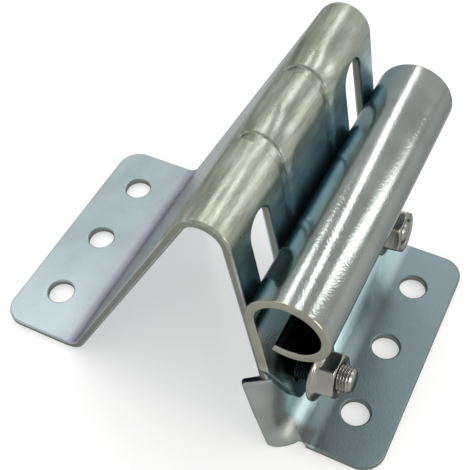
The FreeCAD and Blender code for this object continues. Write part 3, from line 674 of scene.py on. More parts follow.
@dataclass
class BracketSheet:
    """The folded sheet with its flanges, ridge, slots, darts and ear, in one piece.

    The sheet is laid out flat, with u across the folds and v along the ridge, cut out with its
    holes, and then bent. So holes, edges and the ear keep one thickness everywhere.
    """

    section: FoldedSection = field(default_factory=FoldedSection)
    darts: PressedDarts = field(default_factory=PressedDarts)
    ear: FoldedEar = field(default_factory=FoldedEar)
    steps: GridSteps = field(default_factory=GridSteps)
    half_length: float = 28.6
    corner_radius: float = 5.0
    edge_rounding: float = 0.45
    hole_radius: float = 3.0
    hole_pitch: float = 17.5
    hole_rows: Tuple[float, float] = (0.0, 73.0)
    hole_points: int = 48
    slot_half: float = 3.4
    slot_places: Tuple[float, float] = (-19.45, 19.45)
    slot_ends: Tuple[float, float] = (12.0, 52.7)
    # how far on each side the sheet's slope is measured, for its depth and for its shading
    depth_probe: float = 0.05
    shading_probe: float = 0.03
    # how well the mesh has to agree with the true shape to be shaded by it
    least_agreement: float = 0.8
    # cold rolled sheet: a soft sheen with slow clouds, rubbed dull along its foot
    finish: BrightZincPlate = field(default_factory=lambda: BrightZincPlate(
        name="clear_passivated_zinc_on_rolled_sheet",
        tone="#999da0",
        tints=(
            # blue-grey on the left flange, paler at its front as a painted pool of light, and lilac
            # in its fold
            Tint("#919ea1", x_mm=up_to(8, 22), z_mm=up_to(4, 14)),
            Tint("#a5b2b5", x_mm=up_to(6, 12), y_mm=up_to(-26, 2), z_mm=up_to(4, 14)),
            Tint("#9a98a5", x_mm=(4, 9, 12, 22), z_mm=(0.5, 3, 8, 22)),
            # olive over the ridge, and teal down the wall: a bluer passivate, with a painted
            # reflection that makes it lighter
            Tint("#8a8e82", z_mm=beyond(50, 59)),
            Tint("#b2ccd2", x_mm=beyond(49, 53), y_mm=beyond(-28.2, -27.5), z_mm=(3, 8, 46, 60)),
            # painted shade on the right flange in slate, and a painted reflection that makes the
            # fold beside it paler, most of all at its front
            Tint("#6b797c", x_mm=beyond(66, 69), z_mm=up_to(4, 9)),
            Tint("#8b9fa1", x_mm=(57, 59, 66, 69), z_mm=(0, 1, 8, 13)),
            Tint("#b9cfd0", x_mm=(57, 59, 66, 69), y_mm=up_to(-8, 6), z_mm=(0, 1, 8, 13)),
            # plain grey on the ear
            Tint("#8d918f", x_mm=(52, 53, 67, 68), y_mm=up_to(-26, -23.5), z_mm=up_to(20, 22)),
        ),
        foot_dulling=0.16,
        # painted reflection streaks over the ridge
        streak_share=0.26,
    ))
    # the punched edges are torn steel under the plate, so they are darker and duller
    edge_finish: BrightZincPlate = field(default_factory=lambda: BrightZincPlate(
        name="clear_passivated_zinc_on_punched_edge",
        tone="#7c7d74",
        tints=(
            # deep shade along the ear's upper edge
            Tint(
                "#27333b", x_mm=(50, 51, 60, 61), y_mm=up_to(-28.4, -27.6),
                z_mm=(20.2, 20.6, 21.3, 21.8),
            ),
        ),
        roughness=0.4,
    ))

    def build(self) -> None:
        """Builds the sheet, dresses it and puts it in the place of the plain solid."""
        points, faces, cut, facing = self._mesh()
        sheet = new_piece("bracket_sheet", points, faces, self.finish.build())
        sheet.data.materials.append(self.edge_finish.build())
        finishes = np.zeros(len(faces), dtype=np.int32)
        finishes[cut] = 1
        sheet.data.polygons.foreach_set("material_index", finishes)
        self._face_smoothly(sheet.data, facing)
        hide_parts("bracket")
        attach(sheet, Body.BRACKET.value)
        log.info("bracket sheet: %d faces", len(faces))

    def _wall_u(self, height: float) -> float:
        """The unrolled length at a height up the wall from its foot."""
        reach = self.section.fold_radius * math.tan(self.section.wall_angle / 2)
        return self.section.marks()[Mark.RIGHT_FOLD] - (height - reach)

    def _crease_at(self, u: np.ndarray) -> np.ndarray:
        """Finds where the ear starts, with the crease's corners softened into one curve.

        Args:
            u: unrolled lengths across the folds.

        Returns:
            The place along the ridge at each length.
        """
        lengths = np.array([self._wall_u(height) for height, _ in self.ear.crease])
        places = np.array([place for _, place in self.ear.crease])
        shifts = np.linspace(-self.ear.crease_softness, self.ear.crease_softness, 9)
        total = np.zeros(len(u))
        for shift in shifts:
            total += np.interp(u + shift, lengths, places)
        return total / len(shifts)

    def _outer(self, u: np.ndarray, v: np.ndarray) -> np.ndarray:
        """The outer face of the bent sheet, without the darts.

        Args:
            u: unrolled lengths across the folds.
            v: places along the ridge, and beyond the crease the length round the ear.

        Returns:
            One row of x, y and z for each point.
        """
        line = self.section.at(u)
        flat = np.stack([line[:, 0], v, line[:, 1]], axis=1)
        start, end = self._wall_u(self.ear.height), self.section.marks()[Mark.RIGHT_FLANGE]
        fade = self.ear.fade
        crease = self._crease_at(u)
        past = crease - v
        near = (past > 0) & (u > start - fade) & (u < end + fade)
        if not near.any():
            return flat
        level = np.clip((u[near] - start) / (end - start), 0, 1)
        turn = np.clip(u[near], start, end)
        root_line = self.section.at(turn)
        root = np.stack([root_line[:, 0], self._crease_at(turn), root_line[:, 1]], axis=1)
        bent = self.ear.sweep(level, root, past[near] / self._ear_length(u[near]))
        share = smooth_step(u[near], start - fade, start)
        share *= 1 - smooth_step(u[near], end, end + fade)
        spot = line[near]
        own_root = np.stack([spot[:, 0], crease[near], spot[:, 1]], axis=1)
        flat[near] += (bent - root + own_root - flat[near]) * share[:, None]
        return flat

    def _ear_length(self, u: np.ndarray) -> np.ndarray:
        """The length of the ear from its crease to its free edge."""
        return self._crease_at(u) - self.ear.border

    def _bent(self, u: np.ndarray, v: np.ndarray, under: np.ndarray) -> np.ndarray:
        """Bends points of the flat sheet.

        Args:
            u: unrolled lengths across the folds.
            v: places along the ridge.
            under: depth under the outer face, up to the thickness.

        Returns:
            One row of x, y and z for each point.
        """
        marks, probe = self.section.marks(), self.depth_probe
        across = self._outer(u + probe, v) - self._outer(u - probe, v)
        along = self._outer(u, v + probe) - self._outer(u, v - probe)
        out = np.cross(across, along)
        out /= np.linalg.norm(out, axis=1)[:, None]
        sink = self.darts.sink(u, v, marks[Mark.RIDGE], marks[Mark.WALL])
        bent = self._outer(u, v) - out * (under + sink)[:, None]
        bent[:, 2] = np.maximum(bent[:, 2], 0.0)
        return bent

    def _outline(self) -> np.ndarray:
        """Draws the flat sheet's outer edge, with the material on its left.

        Returns:
            One row of u and v for each point.
        """
        marks, ear = self.section.marks(), self.ear
        end, half, radius = marks[Mark.RIGHT_END], self.half_length, self.corner_radius
        start, foot = self._wall_u(ear.height), marks[Mark.RIGHT_FLANGE]
        # the first and the last points leave room for the two rounded corners
        border = [(float(u), ear.border, 0.0) for u in np.linspace(start, foot, 40)[3:-4]]
        return self._rounded([
            (0.0, -half, radius),
            (start, -half, ear.tip_radius),
            (start, ear.border, ear.tip_radius),
            *border,
            (foot, ear.border, ear.corner_radius),
            (foot, -half, ear.tip_radius),
            (end, -half, radius),
            (end, half, radius),
            (0.0, half, radius),
        ])

    @staticmethod
    def _rounded(
        corners: Sequence[Tuple[float, float, float]], pitch: float = 0.55, arc_pitch: float = 0.4,
    ) -> np.ndarray:
        """Draws a closed line through corners that have radii, in short steps.

        Args:
            corners: across, along and radius of each corner.
            pitch: greatest length of a step.
            arc_pitch: about the length of a step round a corner.

        Returns:
            One row of u and v for each point.
        """
        points: List[np.ndarray] = []
        count = len(corners)
        spots = [np.array(c[:2]) for c in corners]
        for index, (_, _, radius) in enumerate(corners):
            here, before, after = spots[index], spots[index - 1], spots[(index + 1) % count]
            if radius <= 0:
                points.append(here)
                continue
            back = (before - here) / np.linalg.norm(before - here)
            ahead = (after - here) / np.linalg.norm(after - here)
            half_angle = math.acos(float(np.clip(back @ ahead, -1, 1))) / 2
            run, inwards = radius / math.tan(half_angle), back + ahead
            middle = here + inwards / np.linalg.norm(inwards) * radius / math.sin(half_angle)
            first, last = here + back * run - middle, here + ahead * run - middle
            turn = math.atan2(float(flat_cross(first, last)), float(first @ last))
            steps = max(3, int(abs(turn) * radius / arc_pitch))
            for step in range(steps + 1):
                angle = turn * step / steps
                c, s = math.cos(angle), math.sin(angle)
                points.append(middle + np.array([
                    first[0] * c - first[1] * s, first[0] * s + first[1] * c,
                ]))
        line: List[np.ndarray] = []
        for index, point in enumerate(points):
            after = points[(index + 1) % len(points)]
            shade_in_gap = float(np.linalg.norm(after - point))
            # two corners can end in the same place
            if shade_in_gap < 1e-4:
                continue
            steps = max(1, int(math.ceil(shade_in_gap / pitch)))
            line += [point + (after - point) * step / steps for step in range(steps)]
        return np.array(line)

    def _loops(self) -> List[np.ndarray]:
        """Draws all edges of the flat sheet, with the material on the left of each.

        Returns:
            The outer edge, the six holes and the two slots.
        """
        loops = [self._outline()]
        marks, runs = self.section.marks(), self.section.runs()
        left, right = self.hole_rows
        rows = (
            left - self.section.left_end,
            marks[Mark.RIGHT_FLANGE] + right - runs[Mark.RIGHT_FLANGE].start[0],
        )
        turn = -np.linspace(0, 2 * math.pi, self.hole_points, endpoint=False)
        ring = np.stack([np.cos(turn), np.sin(turn)], axis=1) * self.hole_radius
        loops += [ring + np.array([u, step * self.hole_pitch]) for u in rows for step in (-1, 0, 1)]
        low, high = (self._wall_u(h) for h in self.slot_ends)
        half = self.slot_half
        for place in self.slot_places:
            corners = [
                (high - half, place + half, half), (low + half, place + half, half),
                (low + half, place - half, half), (high - half, place - half, half),
            ]
            loops.append(self._rounded(corners, pitch=0.8))
        return loops

    def _grid(self, loops: Sequence[np.ndarray]) -> np.ndarray:
        """Lays out the inner points of the flat sheet, close together where it bends.

        Args:
            loops: edges that the points keep clear of.

        Returns:
            One row of u and v for each point.
        """
        marks, steps = self.section.marks(), self.steps
        ridge, wall = marks[Mark.RIDGE], marks[Mark.WALL]
        before, after = ridge - steps.before_ridge, wall + steps.after_ridge
        ear_top = self._wall_u(steps.ear_top)
        bounds = [
            0.0, marks[Mark.LEFT_FOLD], marks[Mark.SLOPE], before, ridge, wall, after, ear_top,
            marks[Mark.RIGHT_FOLD], marks[Mark.RIGHT_FLANGE], marks[Mark.RIGHT_END],
        ]
        sizes = [
            steps.flat, steps.left_fold, steps.flat, steps.beside_ridge, steps.ridge,
            steps.beside_ridge, steps.wall, steps.beside_ear, steps.right_fold, steps.flat,
        ]
        # a last point within 0.4 of a step is left out, because the next stretch starts there
        across = np.concatenate([
            np.arange(low, high - size * 0.4, size)
            for low, high, size in zip(bounds, bounds[1:], sizes)
        ])
        half = self.half_length
        bounds, sizes = [-half, steps.ear_side], [steps.ear, steps.between]
        for place in self.darts.places:
            bounds += [place - steps.before_dart, place + steps.after_dart, place + steps.ramp_out]
            sizes += [steps.dart, steps.ramp, steps.between]
        bounds.append(half)
        along = np.concatenate([
            np.arange(low, high, size) for low, high, size in zip(bounds, bounds[1:], sizes)
        ])
        u, v = (side.ravel() for side in np.meshgrid(across, along))
        bend = (u > ridge - steps.kept_ridge[0]) & (u < wall + steps.kept_ridge[1])
        fine = np.zeros(len(u), bool)
        for place in self.darts.places:
            fine |= (v > place - steps.kept_dart[0]) & (v < place + steps.kept_dart[1])
        # away from the darts a few of the close lines are enough
        order = np.repeat(np.arange(len(along)), len(across))
        keep = bend | ~fine | (order % steps.kept_line == 0)
        u, v = u[keep], v[keep]
        ear_u, ear_v = (
            side.ravel() for side in np.meshgrid(
                np.arange(self._wall_u(self.ear.height), marks[Mark.RIGHT_FLANGE], steps.ear),
                np.arange(steps.ear_limit, -half, steps.ear),
            )
        )
        spots = np.stack([np.concatenate([u, ear_u]), np.concatenate([v, ear_v])], axis=1)
        inside = inside_loops(spots, loops)
        edge = np.concatenate(list(loops))
        clear = np.ones(len(spots), bool)
        # in blocks, so that the table of distances stays small
        for block in range(0, len(spots), 2000):
            part = spots[block:block + 2000]
            shade_in_gap = np.sqrt(((part[:, None, :] - edge[None, :, :]) ** 2).sum(axis=2)).min(axis=1)
            clear[block:block + 2000] = shade_in_gap > steps.clear
        return spots[inside & clear]

    def _face_smoothly(self, mesh: bpy.types.Mesh, facing: np.ndarray) -> None:
        """Shades the faces of the plate by the true shape, where the mesh already faces nearly so.

        Args:
            mesh: the mesh of the sheet.
            facing: the directions of the first points, square to the sheet.
        """
        found = np.zeros(3 * len(mesh.vertices))
        mesh.vertices.foreach_get("normal", found)
        found = found.reshape(-1, 3)
        wanted = np.zeros_like(found)
        agree = (found[:len(facing)] * facing).sum(axis=1, keepdims=True)
        close = np.abs(agree) > self.least_agreement
        wanted[:len(facing)] = np.where(close, facing * np.sign(agree), 0.0)
        mesh.normals_split_custom_set_from_vertices(wanted.tolist())

    def _facing(self, u: np.ndarray, v: np.ndarray, under: np.ndarray) -> np.ndarray:
        """Finds the directions square to the bent sheet.

        Args:
            u: unrolled lengths across the folds.
            v: places along the ridge.
            under: depth under the outer face.

        Returns:
            One row of x, y and z for each point.
        """
        near = self.shading_probe
        along_u = self._bent(u + near, v, under) - self._bent(u - near, v, under)
        along_v = self._bent(u, v + near, under) - self._bent(u, v - near, under)
        square = np.cross(along_u, along_v)
        return square / np.maximum(np.linalg.norm(square, axis=1, keepdims=True), 1e-12)

    def _mesh(self) -> Tuple[np.ndarray, List[Tuple[int, ...]], List[int], np.ndarray]:
        """Cuts the flat sheet out, bends it and rounds its edges.

        Returns:
            The points in millimetres, the faces, the numbers of the faces that were cut, and
            the directions square to the sheet at the first points.
        """
        radius, thick, weld = self.edge_rounding, self.section.thickness, 1e-6
        loops = self._loops()
        inner = [shrink(loop, radius) for loop in loops]
        grid = self._grid(inner)
        flat = np.concatenate(inner + [grid])
        edges: List[Tuple[int, int]] = []
        base = 0
        for loop in inner:
            edges += [(base + i, base + (i + 1) % len(loop)) for i in range(len(loop))]
            base += len(loop)
        made = delaunay_2d_cdt([Vector(p) for p in flat.tolist()], edges, [], 0, weld)
        spots = np.array([tuple(p) for p in made[0]])
        triangles = np.array([f for f in made[2]])
        centres = spots[triangles].mean(axis=1)
        triangles = triangles[inside_loops(centres, inner)]
        first, second, third = (spots[triangles[:, i]] for i in range(3))
        turned = flat_cross(second - first, third - first) < 0
        triangles[turned] = triangles[turned][:, ::-1]
        count = len(spots)
        new_index = {old: new for new, olds in enumerate(made[3]) for old in olds}
        blocks = [
            self._bent(spots[:, 0], spots[:, 1], np.zeros(count)),
            self._bent(spots[:, 0], spots[:, 1], np.full(count, thick)),
        ]
        faces: List[Tuple[int, ...]] = [tuple(t) for t in triangles.tolist()]
        faces += [(a + count, c + count, b + count) for a, b, c in triangles.tolist()]
        # rounding from the outer face over the cut edge to the inner face
        turns = [math.radians(angle) for angle in (30, 60, 90)]
        rims = [(radius * (1 - math.sin(t)), radius * (1 - math.cos(t))) for t in turns]
        rims += [(inset, thick - under) for inset, under in reversed(rims)]
        total, base = 2 * count, 0
        cut: List[int] = []
        for loop in loops:
            size = len(loop)
            rows = [[new_index[base + i] for i in range(size)]]
            for inset, under in rims:
                ring = shrink(loop, inset)
                blocks.append(self._bent(ring[:, 0], ring[:, 1], np.full(size, under)))
                rows.append(list(range(total, total + size)))
                total += size
            rows.append([new_index[base + i] + count for i in range(size)])
            for number, (upper, lower) in enumerate(zip(rows, rows[1:])):
                if number == len(turns):
                    cut += range(len(faces), len(faces) + size)
                for i in range(size):
                    j = (i + 1) % size
                    faces.append((upper[i], lower[i], lower[j], upper[j]))
            base += size
        facing = np.concatenate([
            self._facing(spots[:, 0], spots[:, 1], np.zeros(count)),
            self._facing(spots[:, 0], spots[:, 1], np.full(count, thick)),
        ])
        return np.concatenate(blocks), faces, cut, facing


def shrink(loop: np.ndarray, inset: float) -> np.ndarray:
    """Moves a closed line into the material on its left.

    Args:
        loop: one row of u and v for each point.
        inset: the distance.

    Returns:
        The moved line, point for point.
    """
    after = np.roll(loop, -1, axis=0) - loop
    before = loop - np.roll(loop, 1, axis=0)
    after /= np.linalg.norm(after, axis=1)[:, None]
    before /= np.linalg.norm(before, axis=1)[:, None]
    way = after + before
    way /= np.linalg.norm(way, axis=1)[:, None]
    return loop + np.stack([-way[:, 1], way[:, 0]], axis=1) * inset


def inside_loops(spots: np.ndarray, loops: Sequence[np.ndarray]) -> np.ndarray:
    """Tells which spots lie in the material.

    Args:
        spots: one row of u and v for each spot.
        loops: closed lines, the outer one and the holes.

    Returns:
        True for each spot that is inside the outer line and outside the holes.
    """
    inside = np.zeros(len(spots), bool)
    u, v = spots[:, 0], spots[:, 1]
    for loop in loops:
        for (u0, v0), (u1, v1) in zip(loop, np.roll(loop, -1, axis=0)):
            if v0 == v1:
                continue
            crosses = (v0 > v) != (v1 > v)
            inside ^= crosses & (u < (u1 - u0) * (v - v0) / (v1 - v0) + u0)
    return inside


@dataclass(frozen=True)
class WallFrame:
    """A place on the wall's outer face, with its own axes out of the wall and up it."""

    foot_x: float = FoldedSection.wall_foot
    foot_z: float = FoldedSection.thickness
    angle: float = FoldedSection.wall_angle

    def place(self, points: np.ndarray, height: float, across: float) -> np.ndarray:
        """Moves points from the wall's frame into the part's frame.

        Args:
            points: rows of the distance out of the wall, along the ridge and up the wall.
            height: how far up the wall the frame stands.
            across: its place along the ridge.

        Returns:
            The moved points.
        """
        out = np.array([math.sin(self.angle), 0, math.cos(self.angle)])
        along = np.array([0, 1.0, 0])
        up = np.array([-math.cos(self.angle), 0, math.sin(self.angle)])
        start = np.array([self.foot_x, across, self.foot_z]) + up * height
        return start + points[:, :1] * out + points[:, 1:2] * along + points[:, 2:] * up


def turned_piece(
    stations: Stations, closed: bool, steps: int = 96,
) -> Tuple[np.ndarray, List[Tuple[int, ...]]]:
    """Skins rings round the first axis.

    Args:
        stations: for each ring its place on the axis and its radius at each angle.
        closed: whether the last ring joins the first one, as round a bore.
        steps: points of each ring.

    Returns:
        The points and the faces.
    """
    turn = np.linspace(0, 2 * math.pi, steps, endpoint=False)
    rings = []
    for place, radius_at in stations:
        radius = radius_at(turn)
        rings.append(np.stack(
            [np.full(steps, place), radius * np.cos(turn), radius * np.sin(turn)], axis=1,
        ))
    count = len(rings)
    faces: List[Tuple[int, ...]] = []
    for index in range(count if closed else count - 1):
        low, high = index * steps, ((index + 1) % count) * steps
        for i in range(steps):
            j = (i + 1) % steps
            faces.append((low + i, low + j, high + j, high + i))
    if not closed:
        ends = np.array([[stations[0][0], 0, 0], [stations[-1][0], 0, 0]])
        points = np.concatenate(rings + [ends])
        first, last = len(points) - 2, len(points) - 1
        base = (count - 1) * steps
        for i in range(steps):
            j = (i + 1) % steps
            faces.append((first, j, i))
            faces.append((last, base + i, base + j))
        return points, faces
    return np.concatenate(rings), faces


def ring_of(radius: float) -> Ring:
    """A plain ring of one radius."""
    return lambda turn: np.full(len(turn), radius)


@dataclass
class CoachBolt:
    """A bolt with a domed head, a square neck and a rolled thread.

    Places along it count from the wall's outer face.
    """

    name: str
    across: float
    reach: float
    finish: BrightZincPlate
    height: float = 13.85
    seat: float = -1.85
    head_radius: float = 6.2
    head_rise: float = 3.3
    head_softening: float = 0.15
    neck_half: float = 3.1
    neck_length: float = 1.8
    # the neck's corners and its end are softened by these shares of its half width
    neck_corner: float = 1.32
    neck_end: float = 0.97
    radius: float = 2.7
    pitch: float = 0.6
    thread_depth: float = 0.34
    # how steep the thread's flanks are, and how much its flat crest cuts off them
    flank: float = 1.25
    crest: float = 0.12
    ring_step: float = 0.075
    end_chamfer: float = 0.6

    def build(self) -> None:
        """Builds the bolt in the place of its plain solid."""
        stations = self._head() + self._neck() + self._thread()
        points, faces = turned_piece(stations, closed=False)
        points = WallFrame().place(points, self.height, self.across)
        bolt = new_piece(self.name + "_threaded", points, faces, self.finish.build())
        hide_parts(self.name)
        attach(bolt, Body.CARRIER.value)
        log.info("%s: %d faces", self.name, len(faces))

    def _head(self) -> Stations:
        """Draws the domed head.

        Returns:
            Its rings, from the crown to the seat.
        """
        rim, soft = self.head_rise / 4, self.head_softening
        cap = self.head_rise - rim
        dome = (self.head_radius ** 2 + cap ** 2) / (2 * cap)
        middle = self.seat - self.head_rise + dome
        radii = [self.head_radius * step / 12 for step in range(1, 13)]
        rings = [(middle - math.sqrt(dome ** 2 - radius ** 2), ring_of(radius)) for radius in radii]
        rings.append((self.seat - soft, ring_of(self.head_radius)))
        rings.append((self.seat, ring_of(self.head_radius - soft)))
        return rings

    def _square(self, turn: np.ndarray) -> np.ndarray:
        """The neck's radius at each angle, with rounded corners."""
        side = np.maximum(np.abs(np.cos(turn)), np.abs(np.sin(turn)))
        return np.minimum(self.neck_half / side, self.neck_half * self.neck_corner)

    def _neck(self) -> Stations:
        """Draws the square neck.

        Returns:
            Its rings, from the seat to its softened end.
        """
        end = self.seat + self.neck_length
        return [
            (self.seat, self._square),
            (end - 0.1, self._square),
            (end, lambda turn: self._square(turn) * self.neck_end),
        ]

    def _thread(self) -> Stations:
        """Draws the shank with its helical thread and its chamfered end.

        Returns:
            Its rings, from the neck to the end.
        """
        start, end = self.seat + self.neck_length, self.reach
        count = int((end - start) / self.ring_step)
        rings = []
        for step in range(count + 1):
            place = start + (end - start) * step / count
            limit = min(self.radius, self.radius - self.end_chamfer + (end - place))
            rings.append((place, partial(self._threaded, place, limit)))
        return rings

    def _threaded(self, place: float, limit: float, turn: np.ndarray) -> np.ndarray:
        """Cuts the thread into one ring.

        Args:
            place: the ring's place along the bolt.
            limit: its greatest radius.
            turn: the angles.

        Returns:
            The radius at each angle.
        """
        phase = (place / self.pitch - turn / (2 * math.pi)) % 1.0
        dip = np.clip(self.flank * np.abs(2 * phase - 1) - self.crest, 0, 1)
        return np.minimum(self.radius - self.thread_depth * dip, limit)


@dataclass
class FlangeNut:
    """A hexagon nut with a turned flange, its corners softened by the plating."""

    name: str
    across: float
    base: float
    turn: float
    finish: BrightZincPlate
    bolt_height: float = CoachBolt.height
    flats: float = 8.6
    tall: float = 4.9
    flange_radius: float = 6.1
    brim: float = 0.9
    bore: float = 2.72
    # how far the bore opens out at the base and at the top
    base_mouth: float = 0.3
    top_mouth: float = 0.45
    # how wide the hexagon's corners, the foot of the flange's cone and the top's turned edge are,
    # in shares of half the flats
    corner: float = 1.135
    cone: float = 1.13
    top: float = 1.15
    top_land: Tuple[float, float] = (0.99, 0.95)

    def build(self) -> None:
        """Builds the nut in the place of its plain solid."""
        points, faces = turned_piece(self._profile(), closed=True, steps=120)
        points[:, 0] += self.base
        points = WallFrame().place(points, self.bolt_height, self.across)
        nut = new_piece(self.name + "_softened", points, faces, self.finish.build())
        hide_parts(self.name)
        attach(nut, Body.CARRIER.value)
        log.info("%s: %d faces", self.name, len(faces))

    def _hexagon(self, turn: np.ndarray) -> np.ndarray:
        """The hexagon's radius at each angle, with rounded corners."""
        away = np.abs((turn - math.radians(self.turn)) % (math.pi / 3) - math.pi / 6)
        return np.minimum(self.flats / 2 / np.cos(away), self.flats / 2 * self.corner)

    def _below(self, limit: float) -> Ring:
        """The hexagon, turned down to a radius."""
        return lambda turn: np.minimum(self._hexagon(turn), limit)

    def _profile(self) -> Stations:
        """Draws the nut from its base round the outside and back down its bore.

        Returns:
            Its rings.
        """
        half, tall, brim, flange = self.flats / 2, self.tall, self.brim, self.flange_radius
        # the flange with its rounded brim
        rings = [
            (0.0, ring_of(self.bore + self.base_mouth)), (0.0, ring_of(flange - 0.25)),
            (0.2, ring_of(flange)), (brim - 0.15, ring_of(flange)), (brim, ring_of(flange - 0.15)),
        ]
        # the cone from the brim up to the hexagon, which it meets in a small fillet
        rings += [
            (brim * 1.5, lambda turn: np.maximum(self._hexagon(turn), half * self.cone)),
            (brim * 2, lambda turn: self._hexagon(turn) + 0.08), (brim * 2.2, self._hexagon),
        ]
        # the turned top edge, the top and the bore
        rings += [
            (tall - 0.45 + step * 0.09, self._below(half * self.top - step * 0.13))
            for step in range(5)
        ]
        rings += [(tall, self._below(half * land)) for land in self.top_land]
        rings += [
            (tall, ring_of(self.bore + self.top_mouth)),
            (tall - 0.4, ring_of(self.bore)), (0.3, ring_of(self.bore)),
        ]
        return rings


@dataclass(frozen=True)
class Clamp:
    """One bolt with its nut, by its places along the ridge and out of the wall."""

    side: str
    across: float
    bolt_reach: float
    nut_base: float
    nut_turn: float

    def build(self) -> None:
        """Builds the bolt and the nut with one finish."""
        plate = self._plate()
        CoachBolt(self.side + "_bolt", self.across, self.bolt_reach, plate).build()
        FlangeNut(
            self.side + "_nut", self.across, self.nut_base, self.nut_turn, plate,
        ).build()

    def _plate(self) -> BrightZincPlate:
        """Chooses the finish of barrel plated hardware, with shade painted on the bolt in the gap
        behind the nut.

        Returns:
            The finish.
        """
        # turned steel has almost no grain, so it is glossy, and shade is painted dark on the bolt
        # in the gap behind the nut
        shade_in_gap = (60.4, 61.2, self.nut_base + 58.9, self.nut_base + 59.5)
        return BrightZincPlate(
            name=self.side + "_hardware_zinc_plate",
            tone="#8c8b84",
            tints=(Tint("#262c30", x_mm=shade_in_gap),),
            roughness=0.24,
            cloud_mm=5.0,
            grain_depth_mm=0.012,
        )


@dataclass
class RollerCarrier:
    """The curled carrier with its bolts and nuts."""

    # the curling tools burnish the sheet, so the tube mirrors its surroundings in crisp streaks
    finish: BrightZincPlate = field(default_factory=lambda: BrightZincPlate(
        name="clear_passivated_zinc_on_curled_sheet",
        tone="#868b88",
        tints=(
            # painted shade and dark reflection in slate on the plate and the tube's left side,
            # between the tube and the wall, and a warmer rim round its mouth
            Tint("#6e8285", x_mm=up_to(57, 63), y_mm=beyond(-29.8, -28.5)),
            Tint("#8c8b80", y_mm=up_to(-29.9, -29.2), z_mm=beyond(24, 27)),
            # deep shade round the front nut, and a painted highlight in a pale strip along the
            # plate's front edge
            Tint("#39454b", x_mm=up_to(63, 65), y_mm=(-25.5, -23.5, -15, -12), z_mm=up_to(20, 28)),
            Tint("#c3cfcc", x_mm=up_to(63, 65), y_mm=up_to(-26.5, -24.5), z_mm=up_to(24, 32)),
        ),
        roughness=0.14,
        grain_mm=0.36,
        grain_depth_mm=0.028,
        grain_stretch=(1.0, 0.8, 1.0),
    ))
    clamps: Tuple[Clamp, ...] = (
        Clamp("front", across=-19.45, bolt_reach=12.8, nut_base=5.3, nut_turn=-3.0),
        Clamp("rear", across=19.45, bolt_reach=9.3, nut_base=4.3, nut_turn=11.0),
    )

    def build(self) -> None:
        """Dresses the carrier and builds its fasteners."""
        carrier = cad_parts["roller_carrier"]
        carrier.data.materials.clear()
        carrier.data.materials.append(self.finish.build())
        log.info("roller carrier dressed")
        for clamp in self.clamps:
            clamp.build()


@dataclass(frozen=True)
class Lamp:
    """A soft lamp at a direction and distance from the part, in metres and watts."""

    name: str
    way: Tuple[float, float, float]
    distance: float
    size: Tuple[float, float]
    power: float
    colour: str = "#ffffff"
    # direction of the lamp's second side
    along: Tuple[float, float, float] = (0.0, 0.0, 1.0)
    target: Tuple[float, float, float] = (0.045, -0.002, 0.03)

    def build(self) -> None:
        """Adds the lamp, looking at the part."""
        data = bpy.data.lights.new(self.name, "AREA")
        data.shape = "RECTANGLE"
        data.size, data.size_y = self.size
        data.energy = self.power
        data.color = to_linear(self.colour)[:3]
        lamp = bpy.data.objects.new(self.name, data)
        bpy.context.scene.collection.objects.link(lamp)
        way = Vector(self.way).normalized()
        side = Vector(self.along).cross(way).normalized()
        turn = Matrix((side, way.cross(side), way)).transposed().to_4x4()
        lamp.matrix_world = Matrix.Translation(Vector(self.target) + way * self.distance) @ turn


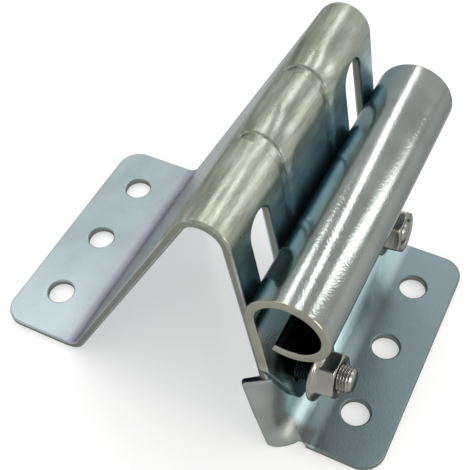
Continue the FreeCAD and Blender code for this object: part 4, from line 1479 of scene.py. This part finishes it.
@dataclass(frozen=True)
class Studio:
    """Pale floor, white surround and soft lamps."""

    white: str = "#ffffff"
    floor_colour: str = "#fbfbfb"
    floor_size: float = 3.0
    # a hair under the flanges, so that the faces don't meet
    floor_place: Tuple[float, float, float] = (0.04, 0.0, -0.00005)
    # how much of the floor is white by itself where it shows; the rest takes the shadow
    floor_share: float = 0.45
    lamps: Tuple[Lamp, ...] = (
        Lamp("left_softbox", (-0.58, 0.16, 0.80), 0.5, (0.25, 0.25), 0.31),
        Lamp("tube_strip", (0.04, 0.61, 0.79), 0.6, (0.028, 0.42), 0.52, along=(0.14, -0.12, 0.09)),
        Lamp("ridge_strip", (-0.30, 0.47, 0.83), 0.6, (0.06, 0.16), 0.2),
        Lamp("second_strip", (0.70, 0.58, 0.45), 0.6, (0.08, 0.30), 0.38),
        Lamp("right_cream", (0.95, -0.10, 0.30), 0.5, (0.16, 0.10), 0.6, "#fff8ea"),
    )

    def build(self) -> None:
        """Builds the floor, the surround and the lamps."""
        self._floor()
        self._world()
        for lamp in self.lamps:
            lamp.build()

    def _floor(self) -> None:
        """A plain floor that shows white and keeps the object's shadow."""
        bpy.ops.mesh.primitive_plane_add(size=self.floor_size, location=self.floor_place)
        floor = bpy.context.object
        floor.name = "floor"
        material = bpy.data.materials.new("pale_floor")
        material.use_nodes = True
        tree = material.node_tree
        tree.nodes.clear()
        plain = add_node(
            tree, "ShaderNodeBsdfDiffuse", values={"Color": to_linear(self.floor_colour)},
        )
        bare = add_node(
            tree, "ShaderNodeEmission", values={"Color": to_linear(self.white), "Strength": 1.0},
        )
        share = add_node(
            tree, "ShaderNodeMath", {"operation": "MULTIPLY"},
            values={1: self.floor_share}, links={0: self._shown(tree)},
        )
        mix = add_node(
            tree, "ShaderNodeMixShader",
            links={0: share.outputs[0], 1: plain.outputs["BSDF"], 2: bare.outputs[0]},
        )
        add_node(tree, "ShaderNodeOutputMaterial", links={"Surface": mix.outputs[0]})
        floor.data.materials.append(material)

    @staticmethod
    def _shown(tree: bpy.types.NodeTree) -> bpy.types.NodeSocket:
        """Tells rays that show the floor from rays that only light the object.

        Args:
            tree: the node tree that asks.

        Returns:
            A socket that is 1 for camera, glossy and transmission rays.
        """
        path = add_node(tree, "ShaderNodeLightPath")
        seen = add_node(
            tree, "ShaderNodeMath", {"operation": "ADD", "use_clamp": True},
            links={0: path.outputs["Is Camera Ray"], 1: path.outputs["Is Glossy Ray"]},
        )
        shown = add_node(
            tree, "ShaderNodeMath", {"operation": "ADD", "use_clamp": True},
            links={0: seen.outputs[0], 1: path.outputs["Is Transmission Ray"]},
        )
        return shown.outputs[0]

    def _world(self) -> None:
        """A white surround, for the camera, for reflections and as the main soft light."""
        world = bpy.data.worlds.new("studio")
        bpy.context.scene.world = world
        world.use_nodes = True
        tree = world.node_tree
        tree.nodes.clear()
        surround = add_node(
            tree, "ShaderNodeBackground", values={"Color": to_linear(self.white), "Strength": 1.0},
        )
        add_node(tree, "ShaderNodeOutputWorld", links={"Surface": surround.outputs["Background"]})


@dataclass(frozen=True)
class PhotoCamera:
    """The camera at the photograph's viewing angle."""

    place_mm: Tuple[float, float, float] = (91.07, -92.6, 153.6)
    azimuth: float = 27.89
    elevation: float = 55.59
    roll: float = -2.56
    lens_mm: float = 61.97
    sensor_mm: float = 36.0
    clip: Tuple[float, float] = (0.01, 10.0)
    shift: Tuple[float, float] = (-0.0489, 0.1383)

    def build(self) -> None:
        """Creates the camera and makes it the scene's own."""
        az, el, roll = (math.radians(v) for v in (self.azimuth, self.elevation, self.roll))
        back = Vector((math.sin(az) * math.cos(el), -math.cos(az) * math.cos(el), math.sin(el)))
        right = Vector((0, 0, 1)).cross(back).normalized()
        up = back.cross(right)
        c, s = math.cos(roll), math.sin(roll)
        right, up = right * c + up * s, up * c - right * s
        data = bpy.data.cameras.new("photo_camera")
        data.lens = self.lens_mm
        data.sensor_width = self.sensor_mm
        data.shift_x, data.shift_y = self.shift
        data.clip_start, data.clip_end = self.clip
        camera = bpy.data.objects.new("photo_camera", data)
        bpy.context.scene.collection.objects.link(camera)
        turn = Matrix((right, up, back)).transposed().to_4x4()
        camera.matrix_world = Matrix.Translation(Vector(self.place_mm) * MM) @ turn
        bpy.context.scene.camera = camera


def main() -> None:
    """Builds the dressed bracket, its studio and its camera."""
    logging.basicConfig(level=logging.INFO)
    bpy.context.scene.view_settings.view_transform = "Standard"
    BracketSheet().build()
    RollerCarrier().build()
    Studio().build()
    PhotoCamera().build()


if __name__ == "__main__":
    main()
